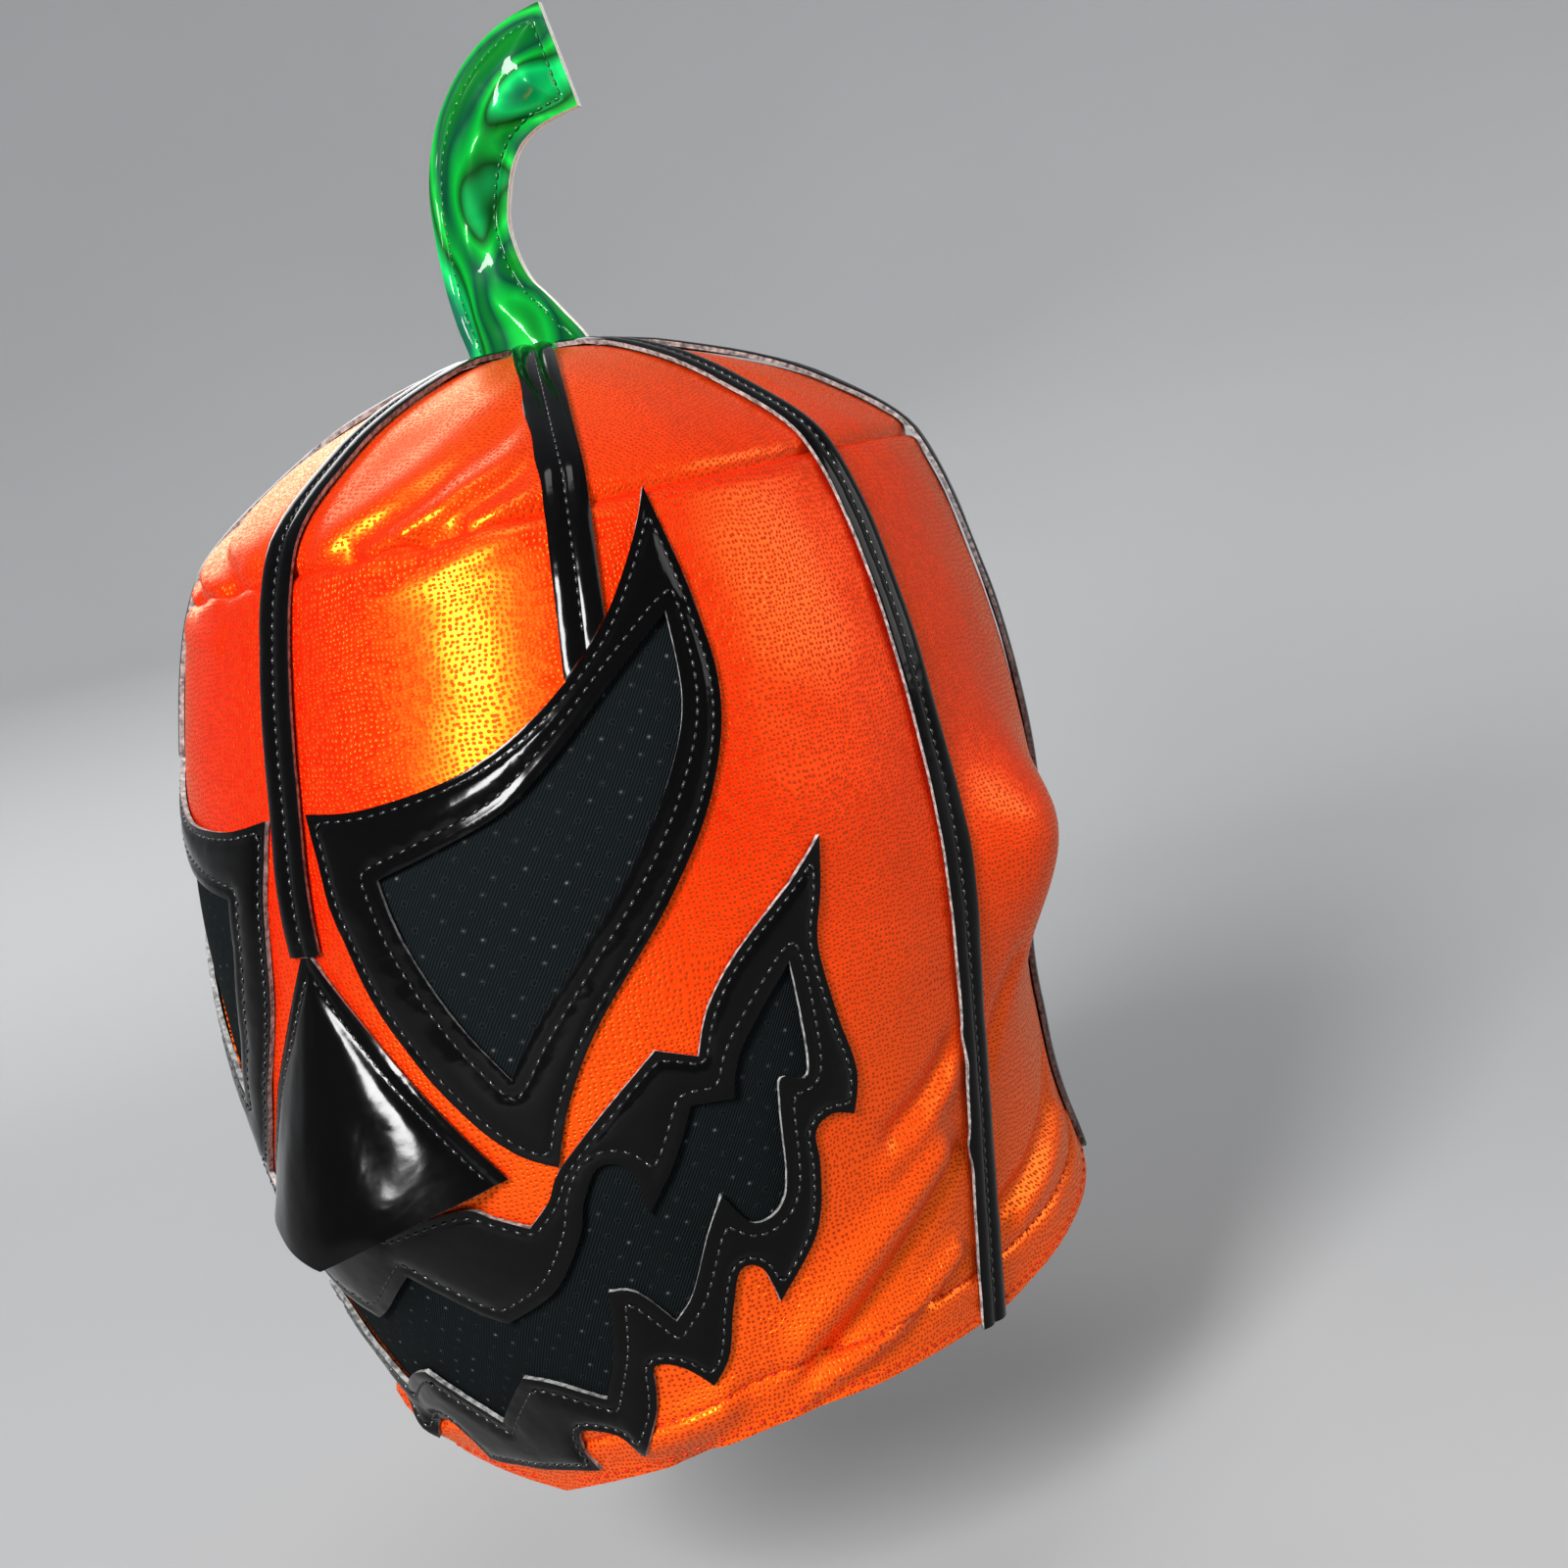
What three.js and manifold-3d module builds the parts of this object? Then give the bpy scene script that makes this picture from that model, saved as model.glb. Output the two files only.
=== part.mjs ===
// Pumpkin-face wrestling mask: a sewn hood of stretch fabric with gloss vinyl appliques.
// Millimetres, +Z up. The face looks along -Y and the wearer's left is +X.
// The origin is the inside of the crown, under the stem.
import * as THREE from 'three';
import { mergeVertices } from 'three/addons/utils/BufferGeometryUtils.js';
import Module from 'manifold-3d';

const wasm = await Module();
wasm.setup();

// Head form under the fabric
const headHalfWidth = 78;
const faceReach = 95;
const backReach = 91;
const hoodDepth = 230;
const roundness = 2.3;
const earReach = 9.5;
const earHollow = 4.5;
const napeReach = 9;

// Materials as they are cut
const clothThick = 1.5;
const vinylThick = 1;
const meshThick = 1;
const seamGap = 0.3;
const meshLap = 1.7;

// Seams, ribs and folds
const seamDrop = 37;
const seamTilt = 0.045;
const ribWidth = 8;
const ribThick = 1.1;
const foldHeight = 2.4;
const foldWidth = 7;

// Nose
const noseTop = 108.5;
const noseLength = 44;
const noseHalfWidth = 31;
const noseReach = 15.5;
const noseLipDrop = 6.5;

// Stem
const stemHeight = 67;
const stemPuff = 4;
const stemTurn = 20;

// Facets
const frontColumns = 18;
const backColumns = 12;
const rowCount = 17;
const rowCrowding = 1.2;
const noseColumns = 12;
const noseRows = 5;
const stemSteps = 11;
const stemFacets = 6;

// Seam lines of the crown, in degrees round from the middle of the face
const ribAngles = { front: 41.5, side: 88.9, back: 135, centre: 180 };

// Sections of the head from the crown down.
// Columns: drop, side, face and back reach, each a share of its named size.
const headSections = [
  [0, 0, 0, 0],
  [0.007, 0.17, 0.16, 0.17],
  [0.035, 0.385, 0.358, 0.396],
  [0.087, 0.628, 0.611, 0.791],
  [0.157, 0.859, 0.826, 0.967],
  [0.239, 0.942, 0.905, 0.995],
  [0.348, 0.987, 0.963, 1],
  [0.457, 1, 1, 0.978],
  [0.565, 0.981, 1, 0.934],
  [0.674, 0.942, 0.984, 0.879],
  [0.783, 0.885, 0.9, 0.83],
  [0.891, 0.827, 0.789, 0.786],
  [1, 0.776, 0.637, 0.725],
];

// Forms on each side of the head: the ear, the hollow behind it and the flare over the nape.
// Columns: height, degrees round, drop, half width in degrees, half height above and below.
const sideForms = [
  [earReach, 109, 0.532, 13, 0.074, 0.105],
  [-earHollow, 124, 0.63, 24, 0.07, 0.1],
  [napeReach, 134, 0.896, 26, 0.096, 0.174],
];

// Long folds of the fabric. Columns: from round, from drop, to round, to drop, height share.
const folds = [
  [24, 0.925, 50, 0.86, 1],
  [50, 0.86, 79, 0.74, 0.8],
  [36, 0.93, 77, 0.875, 0.7],
  [126, 0.76, 104, 0.83, -0.8],
];

// Hem line. Columns: degrees round from the face, drop.
const hemLine = [
  [0, 0.978],
  [17, 0.957],
  [50, 0.926],
  [90, 0.926],
  [104, 0.916],
  [120, 0.888],
  [135, 0.85],
  [180, 0.84],
];

// Outlines on the left of the face. Columns: degrees round, drop, 1 at a corner.
const eyeBorderOutline = [
  [51.5, 0.172, 1],
  [53.8, 0.265, 0],
  [54, 0.34, 0],
  [50, 0.411, 0],
  [42.3, 0.483, 0],
  [32.5, 0.559, 0],
  [27.4, 0.615, 0],
  [24.7, 0.661, 1],
  [20.3, 0.643, 0],
  [15.2, 0.6, 0],
  [9.2, 0.526, 0],
  [6, 0.455, 0],
  [4.5, 0.4, 0],
  [3.4, 0.363, 1],
  [11.6, 0.367, 0],
  [23, 0.356, 0],
  [32.4, 0.326, 0],
  [41.1, 0.276, 0],
  [47.9, 0.213, 0],
];
const eyeOpeningOutline = [
  [49.9, 0.268, 1],
  [49.4, 0.33, 0],
  [46.6, 0.379, 0],
  [40, 0.446, 0],
  [31.2, 0.513, 0],
  [25.6, 0.556, 0],
  [22.2, 0.588, 1],
  [17.6, 0.534, 0],
  [14, 0.474, 0],
  [12.2, 0.421, 1],
  [19.7, 0.407, 0],
  [27.6, 0.388, 0],
  [34.1, 0.356, 0],
  [42.7, 0.305, 0],
];

// The mouth's outlines run from the middle of the top lip to the middle of the chin.
const mouthBorderOutline = [
  [0, 0.703, 1],
  [11.9, 0.684, 0],
  [16.1, 0.694, 0],
  [19.6, 0.705, 1],
  [22.6, 0.686, 0],
  [24.7, 0.663, 0],
  [30.9, 0.625, 0],
  [37.5, 0.589, 1],
  [42, 0.602, 1],
  [44.2, 0.568, 0],
  [49.1, 0.531, 0],
  [57.8, 0.49, 0],
  [62.9, 0.463, 1],
  [61.6, 0.503, 0],
  [59.6, 0.546, 0],
  [60.6, 0.605, 0],
  [62.3, 0.655, 0],
  [60.8, 0.688, 1],
  [57.4, 0.681, 0],
  [54.6, 0.69, 0],
  [54.4, 0.721, 0],
  [52.6, 0.771, 0],
  [45.8, 0.819, 1],
  [44.2, 0.786, 0],
  [41.4, 0.781, 0],
  [39.4, 0.812, 0],
  [37.6, 0.85, 0],
  [34.7, 0.876, 1],
  [31.3, 0.852, 0],
  [27.9, 0.845, 0],
  [26.8, 0.87, 0],
  [25.3, 0.9, 0],
  [22.3, 0.928, 1],
  [18.7, 0.907, 0],
  [13.6, 0.9, 0],
  [11.8, 0.924, 0],
  [12.4, 0.945, 1],
  [0, 0.947, 1],
];
const mouthOpeningOutline = [
  [0, 0.741, 1],
  [7.8, 0.776, 0],
  [11.6, 0.788, 1],
  [19.4, 0.763, 0],
  [24.5, 0.721, 0],
  [26.4, 0.69, 0],
  [28.9, 0.667, 0],
  [32, 0.676, 0],
  [32.7, 0.714, 1],
  [36.9, 0.676, 0],
  [40, 0.638, 1],
  [44.9, 0.642, 1],
  [47.2, 0.604, 0],
  [55.2, 0.551, 1],
  [55.4, 0.6, 0],
  [54.8, 0.643, 0],
  [51.2, 0.638, 0],
  [50.3, 0.663, 0],
  [48.9, 0.732, 0],
  [44.4, 0.746, 0],
  [41.1, 0.715, 1],
  [38.3, 0.746, 0],
  [35, 0.79, 0],
  [32.2, 0.81, 1],
  [28.6, 0.776, 0],
  [25.5, 0.771, 1],
  [23.5, 0.824, 0],
  [19.9, 0.869, 1],
  [13.6, 0.849, 0],
  [9.3, 0.842, 1],
  [0, 0.892, 1],
];

// Sections of the stem from its foot to its cut end.
// Columns: place across and up, and half width, each a share of the stem's height.
const stemSections = [
  [-0.03, -0.03, 0.2],
  [-0.045, 0.04, 0.17],
  [-0.082, 0.15, 0.146],
  [-0.103, 0.26, 0.132],
  [-0.107, 0.385, 0.125],
  [-0.092, 0.49, 0.132],
  [-0.056, 0.6, 0.138],
  [0.004, 0.695, 0.144],
  [0.09, 0.77, 0.156],
  [0.19, 0.815, 0.165],
  [0.3, 0.836, 0.168],
];

const radians = THREE.MathUtils.degToRad;
const degrees = THREE.MathUtils.radToDeg;
const degreeLength = (headHalfWidth * Math.PI) / 180;
const fullTurn = 360;

// Degrees round from the face, between minus and plus half a turn.
const wrapped = (around) => ((around + 1.5 * fullTurn) % fullTurn) - fullTurn / 2;

// Reads one column of a table at a place between its rows, with no overshoot.
function readTable(table, column, at) {
  const last = table.length - 1;
  const x = table.map((row) => row[0]);
  const y = table.map((row) => row[column]);
  const slope = (k) => (y[k + 1] - y[k]) / (x[k + 1] - x[k]);
  const tangent = (k) => {
    if (k === 0) return slope(0);
    if (k === last) return slope(last - 1);
    const product = slope(k - 1) * slope(k);
    return product <= 0 ? 0 : (2 * product) / (slope(k - 1) + slope(k));
  };
  const place = THREE.MathUtils.clamp(at, x[0], x[last]);
  const k = Math.max(x.findIndex((value) => value >= place) - 1, 0);
  const span = x[k + 1] - x[k];
  const t = (place - x[k]) / span;
  const rise = y[k + 1] - y[k];
  const bend = span * (tangent(k) * (1 - t) - tangent(k + 1) * t);
  return y[k] + rise * t * t * (3 - 2 * t) + bend * t * (1 - t);
}

// Height of one of the side forms at a place, which fades away round its middle.
function sideFormAt(around, share, form) {
  const [height, middle, drop, halfWidth, above, below] = form;
  const across = (Math.abs(around) - middle) / halfWidth;
  const level = (share - drop) / (share < drop ? above : below);
  return height * Math.exp(-across * across - level * level);
}

// Height of a long soft ridge, or a crease where its share is negative.
function foldAt(around, drop, fold) {
  const [fromAround, fromDrop, toAround, toDrop, share] = fold;
  const start = new THREE.Vector2(fromAround * degreeLength, fromDrop * hoodDepth);
  const along = new THREE.Vector2(toAround * degreeLength, toDrop * hoodDepth).sub(start);
  const place = new THREE.Vector2(Math.abs(around) * degreeLength, drop).sub(start);
  const nearest = THREE.MathUtils.clamp(place.dot(along) / along.lengthSq(), 0, 1);
  const away = place.distanceTo(along.multiplyScalar(nearest)) / foldWidth;
  return share * foldHeight * Math.exp(-away * away);
}

// Distance from the head's axis to the outside of the fabric.
function reachAt(around, drop) {
  const share = drop / hoodDepth;
  const turn = radians(around);
  const side = readTable(headSections, 1, share) * headHalfWidth;
  const ahead = Math.cos(turn) > 0
    ? readTable(headSections, 2, share) * faceReach
    : readTable(headSections, 3, share) * backReach;
  const across = Math.abs(Math.sin(turn)) / side;
  const along = Math.abs(Math.cos(turn)) / ahead;
  const shell = (across ** roundness + along ** roundness) ** (-1 / roundness);
  const formed = sideForms.reduce((sum, form) => sum + sideFormAt(around, share, form), shell);
  return folds.reduce((sum, fold) => sum + foldAt(around, drop, fold), formed);
}

const hemDrop = (around) => readTable(hemLine, 1, Math.abs(wrapped(around))) * hoodDepth;

// A point on the outside of the fabric.
function clothPoint(around, drop) {
  const reach = reachAt(wrapped(around), drop);
  const turn = radians(around);
  return new THREE.Vector3(reach * Math.sin(turn), -reach * Math.cos(turn), clothThick - drop);
}

// The same point lifted square off the fabric.
function liftedPoint(around, drop, lift) {
  const step = 0.4;
  const right = clothPoint(around + step, drop).sub(clothPoint(around - step, drop));
  const down = clothPoint(around, drop + step).sub(clothPoint(around, drop - step));
  const outward = down.cross(right).normalize();
  return clothPoint(around, drop).addScaledVector(outward, lift);
}

// A solid from points and triangles whose faces point outwards.
function solidOf(points, faces) {
  const vertProperties = new Float32Array(points.flatMap((point) => point.toArray()));
  const triVerts = new Uint32Array(faces.flat());
  return new wasm.Manifold(new wasm.Mesh({ numProp: 3, vertProperties, triVerts }));
}

function solidOfGeometry(geometry) {
  const bare = geometry.clone();
  bare.deleteAttribute('normal');
  bare.deleteAttribute('uv');
  const merged = mergeVertices(bare);
  const vertProperties = new Float32Array(merged.attributes.position.array);
  const triVerts = new Uint32Array(merged.index.array);
  return new wasm.Manifold(new wasm.Mesh({ numProp: 3, vertProperties, triVerts }));
}

// Facet lines of the head: finer over the face than behind it, and narrow under the side ribs.
const ribFlank = 4;
const faceEdge = ribAngles.side - ribFlank;
const backEdge = ribAngles.side + ribFlank;
const evenly = (from, to, count) => (
  Array.from({ length: count }, (_, i) => from + ((to - from) * i) / count));
const columns = [
  ...evenly(-faceEdge, faceEdge, frontColumns),
  ...evenly(faceEdge, backEdge, 2),
  ...evenly(backEdge, fullTurn - backEdge, backColumns),
  ...evenly(fullTurn - backEdge, fullTurn - faceEdge, 2),
];

// Facet rows, closer together towards the crown, as shares of the way to the hem.
const firstRow = 0.012;
function rowShare(row) {
  const even = (row - 1) / (rowCount - 1);
  return firstRow + (1 - firstRow) * even ** rowCrowding;
}

// A closed layer over the whole head between two heights off the fabric.
function layer(low, high) {
  const points = [];
  const faces = [];
  const count = columns.length;
  for (const lift of [high, low]) {
    points.push(new THREE.Vector3(0, 0, clothThick + lift));
    for (let row = 1; row <= rowCount; row += 1) {
      for (const around of columns) {
        points.push(liftedPoint(around, rowShare(row) * hemDrop(around), lift));
      }
    }
  }
  const skin = 1 + rowCount * count;
  const at = (side, row, i) => side * skin + (row === 0 ? 0 : 1 + (row - 1) * count + (i % count));
  const add = (side, a, b, c) => faces.push(side === 0 ? [a, b, c] : [a, c, b]);
  for (let i = 0; i < count; i += 1) {
    for (const side of [0, 1]) {
      add(side, at(side, 0, 0), at(side, 1, i), at(side, 1, i + 1));
      for (let row = 1; row < rowCount; row += 1) {
        add(side, at(side, row, i), at(side, row + 1, i), at(side, row + 1, i + 1));
        add(side, at(side, row, i), at(side, row + 1, i + 1), at(side, row, i + 1));
      }
    }
    const [outer, outerNext] = [at(0, rowCount, i), at(0, rowCount, i + 1)];
    const [inner, innerNext] = [at(1, rowCount, i), at(1, rowCount, i + 1)];
    faces.push([outerNext, outer, inner], [outerNext, inner, innerNext]);
  }
  return solidOf(points, faces);
}

// Turns an outline table into points, with splines between its corners.
function traceOutline(table, closed) {
  const rows = closed ? [...table, table[0]] : table;
  const points = [];
  let run = [];
  for (const [around, share, corner] of rows) {
    run.push(new THREE.Vector2(around, share * hoodDepth));
    if (corner && run.length > 1) {
      points.push(...new THREE.SplineCurve(run).getPoints(run.length - 1).slice(0, -1));
      run = [run.at(-1)];
    }
  }
  return closed ? points : [...points, run[0]];
}

// Moves every side of an outline outwards by a distance on the fabric.
function growOutline(outline, by) {
  const mostStretch = 1.7;
  const flat = outline.map((point) => new THREE.Vector2(point.x * degreeLength, -point.y));
  const turn = THREE.ShapeUtils.isClockWise(flat) ? -1 : 1;
  return flat.map((point, i) => {
    const first = point.clone().sub(flat.at(i - 1)).normalize();
    const second = flat[(i + 1) % flat.length].clone().sub(point).normalize();
    const mean = first.clone().add(second).normalize();
    const stretch = Math.min(1 / mean.dot(first), mostStretch);
    const outward = new THREE.Vector2(mean.y, -mean.x).multiplyScalar(by * stretch * turn);
    return new THREE.Vector2((point.x + outward.x) / degreeLength, -(point.y + outward.y));
  });
}

const mirrorOutline = (outline) => outline.map((point) => new THREE.Vector2(-point.x, point.y));

// The outline of a shape that lies across the middle, from that of its left half.
const bothSides = (half) => [...half, ...mirrorOutline(half).reverse().slice(1, -1)];

// A wedge that cuts an outline through the fabric, square to it, from near the head's axis.
function outlineCutter(outline) {
  const flat = outline.map((point) => new THREE.Vector2(point.x, -point.y));
  if (THREE.ShapeUtils.isClockWise(flat)) flat.reverse();
  const atReach = (reach) => flat.map((point) => new THREE.Vector3(
    reach * Math.sin(radians(point.x)), -reach * Math.cos(radians(point.x)), clothThick + point.y));
  const atLift = (lift) => flat.map((point) => liftedPoint(point.x, -point.y, lift));
  const square = 2 * clothThick;
  const rings = [atReach(3 * faceReach), atLift(square), atLift(-square), atReach(faceReach / 6)];
  const count = flat.length;
  const last = count * (rings.length - 1);
  const caps = THREE.ShapeUtils.triangulateShape(flat, []);
  const faces = caps.flatMap(([a, b, c]) => [[a, b, c], [a + last, c + last, b + last]]);
  for (let ring = 0; ring < last; ring += count) {
    for (let i = 0; i < count; i += 1) {
      const here = ring + i;
      const next = ring + ((i + 1) % count);
      faces.push([next, here, here + count], [next, here + count, next + count]);
    }
  }
  return solidOf(rings.flat(), faces);
}

// The part of the head between two angles round it, with half a seam's gap at each side.
function sectorCutter(from, to) {
  const middle = radians((from + to) / 2);
  const half = radians((to - from) / 2);
  const tip = seamGap / 2 / Math.sin(half);
  const long = 3 * faceReach;
  const depth = 3 * hoodDepth;
  const shape = new THREE.Shape();
  shape.moveTo(tip * Math.sin(middle), -tip * Math.cos(middle));
  for (const side of [middle - half, middle + half]) {
    shape.lineTo(tip * Math.sin(middle) + long * Math.sin(side),
      -tip * Math.cos(middle) - long * Math.cos(side));
  }
  const geometry = new THREE.ExtrudeGeometry(shape, { depth, bevelEnabled: false });
  geometry.translate(0, 0, -depth / 2);
  return solidOfGeometry(geometry);
}

// A block that holds all that lies above or below the tilted crown seam.
function seamCutter(above) {
  const size = 4 * hoodDepth;
  const block = new THREE.BoxGeometry(size, size, size);
  block.translate(0, 0, (size / 2 + seamGap / 2) * (above ? 1 : -1));
  block.rotateX(Math.atan(seamTilt));
  block.translate(0, 0, clothThick - seamDrop);
  return solidOfGeometry(block);
}

const paints = {
  cloth: { color: 0xe8481c, roughness: 0.5, metalness: 0.1 },
  vinyl: { color: 0x0b0b0d, roughness: 0.12, metalness: 0 },
  mesh: { color: 0x1b1b1e, roughness: 0.85, metalness: 0 },
  stem: { color: 0x0f9a3a, roughness: 0.2, metalness: 0.3 },
};
const group = new THREE.Group();

function addPiece(name, solid, paint) {
  const made = solid.getMesh();
  const geometry = new THREE.BufferGeometry();
  geometry.setAttribute('position', new THREE.BufferAttribute(made.vertProperties, made.numProp));
  geometry.setIndex(new THREE.BufferAttribute(made.triVerts, 1));
  geometry.computeVertexNormals();
  const mesh = new THREE.Mesh(geometry, new THREE.MeshStandardMaterial(paints[paint]));
  mesh.name = name;
  group.add(mesh);
}

const eyeBorder = traceOutline(eyeBorderOutline, true);
const eyeOpening = traceOutline(eyeOpeningOutline, true);
const mouthBorder = bothSides(traceOutline(mouthBorderOutline, false));
const mouthOpening = bothSides(traceOutline(mouthOpeningOutline, false));

// Fabric panels: eight gores over the crown, and six panels below its seam
function addPanels(panels, stock) {
  for (const [name, from, to] of panels) {
    addPiece(`${name}_left`, stock.intersect(sectorCutter(from, to)), 'cloth');
    addPiece(`${name}_right`, stock.intersect(sectorCutter(-to, -from)), 'cloth');
  }
}

const cloth = layer(-clothThick, 0);
const holeGrowth = meshLap + seamGap;
const eyeHole = growOutline(eyeOpening, holeGrowth);
const openings = outlineCutter(eyeHole)
  .add(outlineCutter(mirrorOutline(eyeHole)))
  .add(outlineCutter(growOutline(mouthOpening, holeGrowth)));
addPanels([
  ['crown_front', 0, ribAngles.front],
  ['crown_temple', ribAngles.front, ribAngles.side],
  ['crown_side', ribAngles.side, ribAngles.back],
  ['crown_back', ribAngles.back, ribAngles.centre],
], cloth.intersect(seamCutter(true)));
addPanels([
  ['face', 0, ribAngles.side],
  ['cheek', ribAngles.side, ribAngles.back],
  ['nape', ribAngles.back, ribAngles.centre],
], cloth.intersect(seamCutter(false)).subtract(openings));

// Eyes and mouth: a vinyl border sewn on the fabric, over a panel of mesh
const vinyl = layer(seamGap, seamGap + vinylThick);
const netting = layer(-meshThick, 0);
const eyeClear = growOutline(eyeBorder, seamGap);
const eyeKeepOut = outlineCutter(eyeClear).add(outlineCutter(mirrorOutline(eyeClear)));

function addEye(side, place) {
  const border = vinyl.intersect(outlineCutter(place(eyeBorder)));
  const window = outlineCutter(place(growOutline(eyeOpening, meshLap)));
  addPiece(`eye_border_${side}`, border.subtract(outlineCutter(place(eyeOpening))), 'vinyl');
  addPiece(`eye_mesh_${side}`, netting.intersect(window), 'mesh');
}

function addMouth() {
  const lips = vinyl.intersect(outlineCutter(mouthBorder)).subtract(eyeKeepOut);
  const window = outlineCutter(growOutline(mouthOpening, meshLap));
  addPiece('mouth_border', lips.subtract(outlineCutter(mouthOpening)), 'vinyl');
  addPiece('mouth_mesh', netting.intersect(window), 'mesh');
}

addEye('left', (outline) => outline);
addEye('right', mirrorOutline);
addMouth();

// Ribs: folded vinyl strips over the seams, which meet in a star under the stem
const ribTip = 0.1;
const ribSeat = seamGap + ribWidth ** 2 / (4 * headHalfWidth);
const ribCorners = [[-1, 1], [1, 1], [1, 0], [-1, 0]];

function ribSection(around, drop) {
  const turn = degrees(Math.asin(ribWidth / 2 / reachAt(wrapped(around), drop)));
  return ribCorners.map(([side, top]) => (
    liftedPoint(around + side * turn, drop, ribSeat + top * ribThick)));
}

function ribSolid(around, end) {
  const hem = hemDrop(around);
  const drops = [];
  for (let row = 1; row <= rowCount && rowShare(row) * hem < end; row += 1) {
    drops.push(rowShare(row) * hem);
  }
  if (end < hem) drops.push(end);
  const first = ribSection(around, drops[0]);
  const tip = first.map((corner, i) => (
    new THREE.Vector3(0, 0, clothThick + ribSeat + ribCorners[i][1] * ribThick).lerp(corner, ribTip)));
  const points = [...tip, ...drops.flatMap((drop) => ribSection(around, drop))];
  const last = points.length - 4;
  const faces = [[0, 1, 2], [0, 2, 3], [last, last + 2, last + 1], [last, last + 3, last + 2]];
  for (let start = 0; start < last; start += 4) {
    for (let i = 0; i < 4; i += 1) {
      const next = (i + 1) % 4;
      faces.push([start + i, start + 4 + i, start + 4 + next]);
      faces.push([start + i, start + 4 + next, start + next]);
    }
  }
  return solidOf(points, faces);
}

const largest = (solid) => (
  solid.decompose().sort((one, other) => other.volume() - one.volume())[0]);

addPiece('rib_front_centre', ribSolid(0, noseTop - seamGap), 'vinyl');
for (const [side, sign] of [['left', 1], ['right', -1]]) {
  const front = ribSolid(sign * ribAngles.front, noseTop);
  addPiece(`rib_front_${side}`, largest(front.subtract(eyeKeepOut)), 'vinyl');
  addPiece(`rib_side_${side}`, ribSolid(sign * ribAngles.side, hoodDepth), 'vinyl');
  addPiece(`rib_back_${side}`, ribSolid(sign * ribAngles.back, hoodDepth), 'vinyl');
}
addPiece('rib_back_centre', ribSolid(ribAngles.centre, hoodDepth), 'vinyl');

// Nose: one vinyl piece sewn down along its two upper edges, whose lower lip stands open
const noseTipShare = 0.04;
const noseArch = 2.2;

function nosePoint(across, down, lift) {
  const lip = noseLipDrop * down * (1 - Math.abs(across));
  const half = noseHalfWidth * (noseTipShare + (1 - noseTipShare) * down);
  const around = degrees(Math.asin((across * half) / faceReach));
  const rise = noseReach * down * (1 - Math.abs(across) ** noseArch);
  return liftedPoint(around, noseTop + noseLength * down + lip, seamGap + rise + lift);
}

function noseSolid() {
  const wide = noseColumns + 1;
  const skin = wide * (noseRows + 1);
  const points = [];
  for (const lift of [vinylThick, 0]) {
    for (let row = 0; row <= noseRows; row += 1) {
      for (let i = 0; i < wide; i += 1) {
        points.push(nosePoint((2 * i) / noseColumns - 1, row / noseRows, lift));
      }
    }
  }
  const at = (row, i) => row * wide + i;
  const faces = [];
  for (let row = 0; row < noseRows; row += 1) {
    for (let i = 0; i < noseColumns; i += 1) {
      const [a, b, c, d] = [at(row, i), at(row + 1, i), at(row + 1, i + 1), at(row, i + 1)];
      faces.push([a, b, c], [a, c, d]);
      faces.push([a + skin, c + skin, b + skin], [a + skin, d + skin, c + skin]);
    }
  }
  const rim = [
    ...Array.from({ length: noseRows }, (_, row) => at(row, 0)),
    ...Array.from({ length: noseColumns }, (_, i) => at(noseRows, i)),
    ...Array.from({ length: noseRows }, (_, row) => at(noseRows - row, noseColumns)),
    ...Array.from({ length: noseColumns }, (_, i) => at(0, noseColumns - i)),
  ];
  rim.forEach((corner, i) => {
    const next = rim[(i + 1) % rim.length];
    faces.push([next, corner, corner + skin], [next, corner + skin, next + skin]);
  });
  return solidOf(points, faces);
}

addPiece('nose', noseSolid(), 'vinyl');

// Stem: two sewn halves, lightly stuffed, standing on the star of ribs
const stemLine = new THREE.CatmullRomCurve3(stemSections.map((row) => (
  new THREE.Vector3(row[0] * stemHeight, 0, row[1] * stemHeight))));
const stemWidths = stemSections.map((row, i) => [i / (stemSections.length - 1), row[2]]);

// A point of the stem's front half before it is turned to its side.
function stemPoint(share, across, lift) {
  const half = readTable(stemWidths, 1, share) * stemHeight;
  const along = stemLine.getTangent(share);
  const side = new THREE.Vector3(along.z, 0, -along.x);
  return stemLine.getPoint(share).addScaledVector(side, across * half).setY(-lift);
}

function stemHalf(front) {
  const points = [];
  const faces = [];
  const ring = stemFacets + 3;
  const flat = seamGap / 2;
  for (let step = 0; step <= stemSteps; step += 1) {
    const share = step / stemSteps;
    for (let i = 0; i <= stemFacets; i += 1) {
      const across = (2 * i) / stemFacets - 1;
      const thick = vinylThick + stemPuff * (1 - across ** 2);
      points.push(stemPoint(share, across, flat + thick));
    }
    points.push(stemPoint(share, 1, flat), stemPoint(share, -1, flat));
  }
  for (let start = 0; start < stemSteps * ring; start += ring) {
    for (let i = 0; i < ring; i += 1) {
      const next = (i + 1) % ring;
      const above = start + ring;
      faces.push([start + i, start + next, above + next], [start + i, above + next, above + i]);
    }
  }
  const last = stemSteps * ring;
  for (let i = 1; i < ring - 1; i += 1) {
    faces.push([0, i + 1, i], [last, last + i, last + i + 1]);
  }
  for (const point of points) {
    if (!front) point.setY(-point.y);
    point.applyAxisAngle(new THREE.Vector3(0, 0, 1), radians(stemTurn));
  }
  return solidOf(points, front ? faces : faces.map(([a, b, c]) => [a, c, b]));
}

const underStem = layer(-4 * clothThick, ribSeat + ribThick + seamGap);
addPiece('stem_front', stemHalf(true).subtract(underStem), 'stem');
addPiece('stem_back', stemHalf(false).subtract(underStem), 'stem');

export default group;
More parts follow.
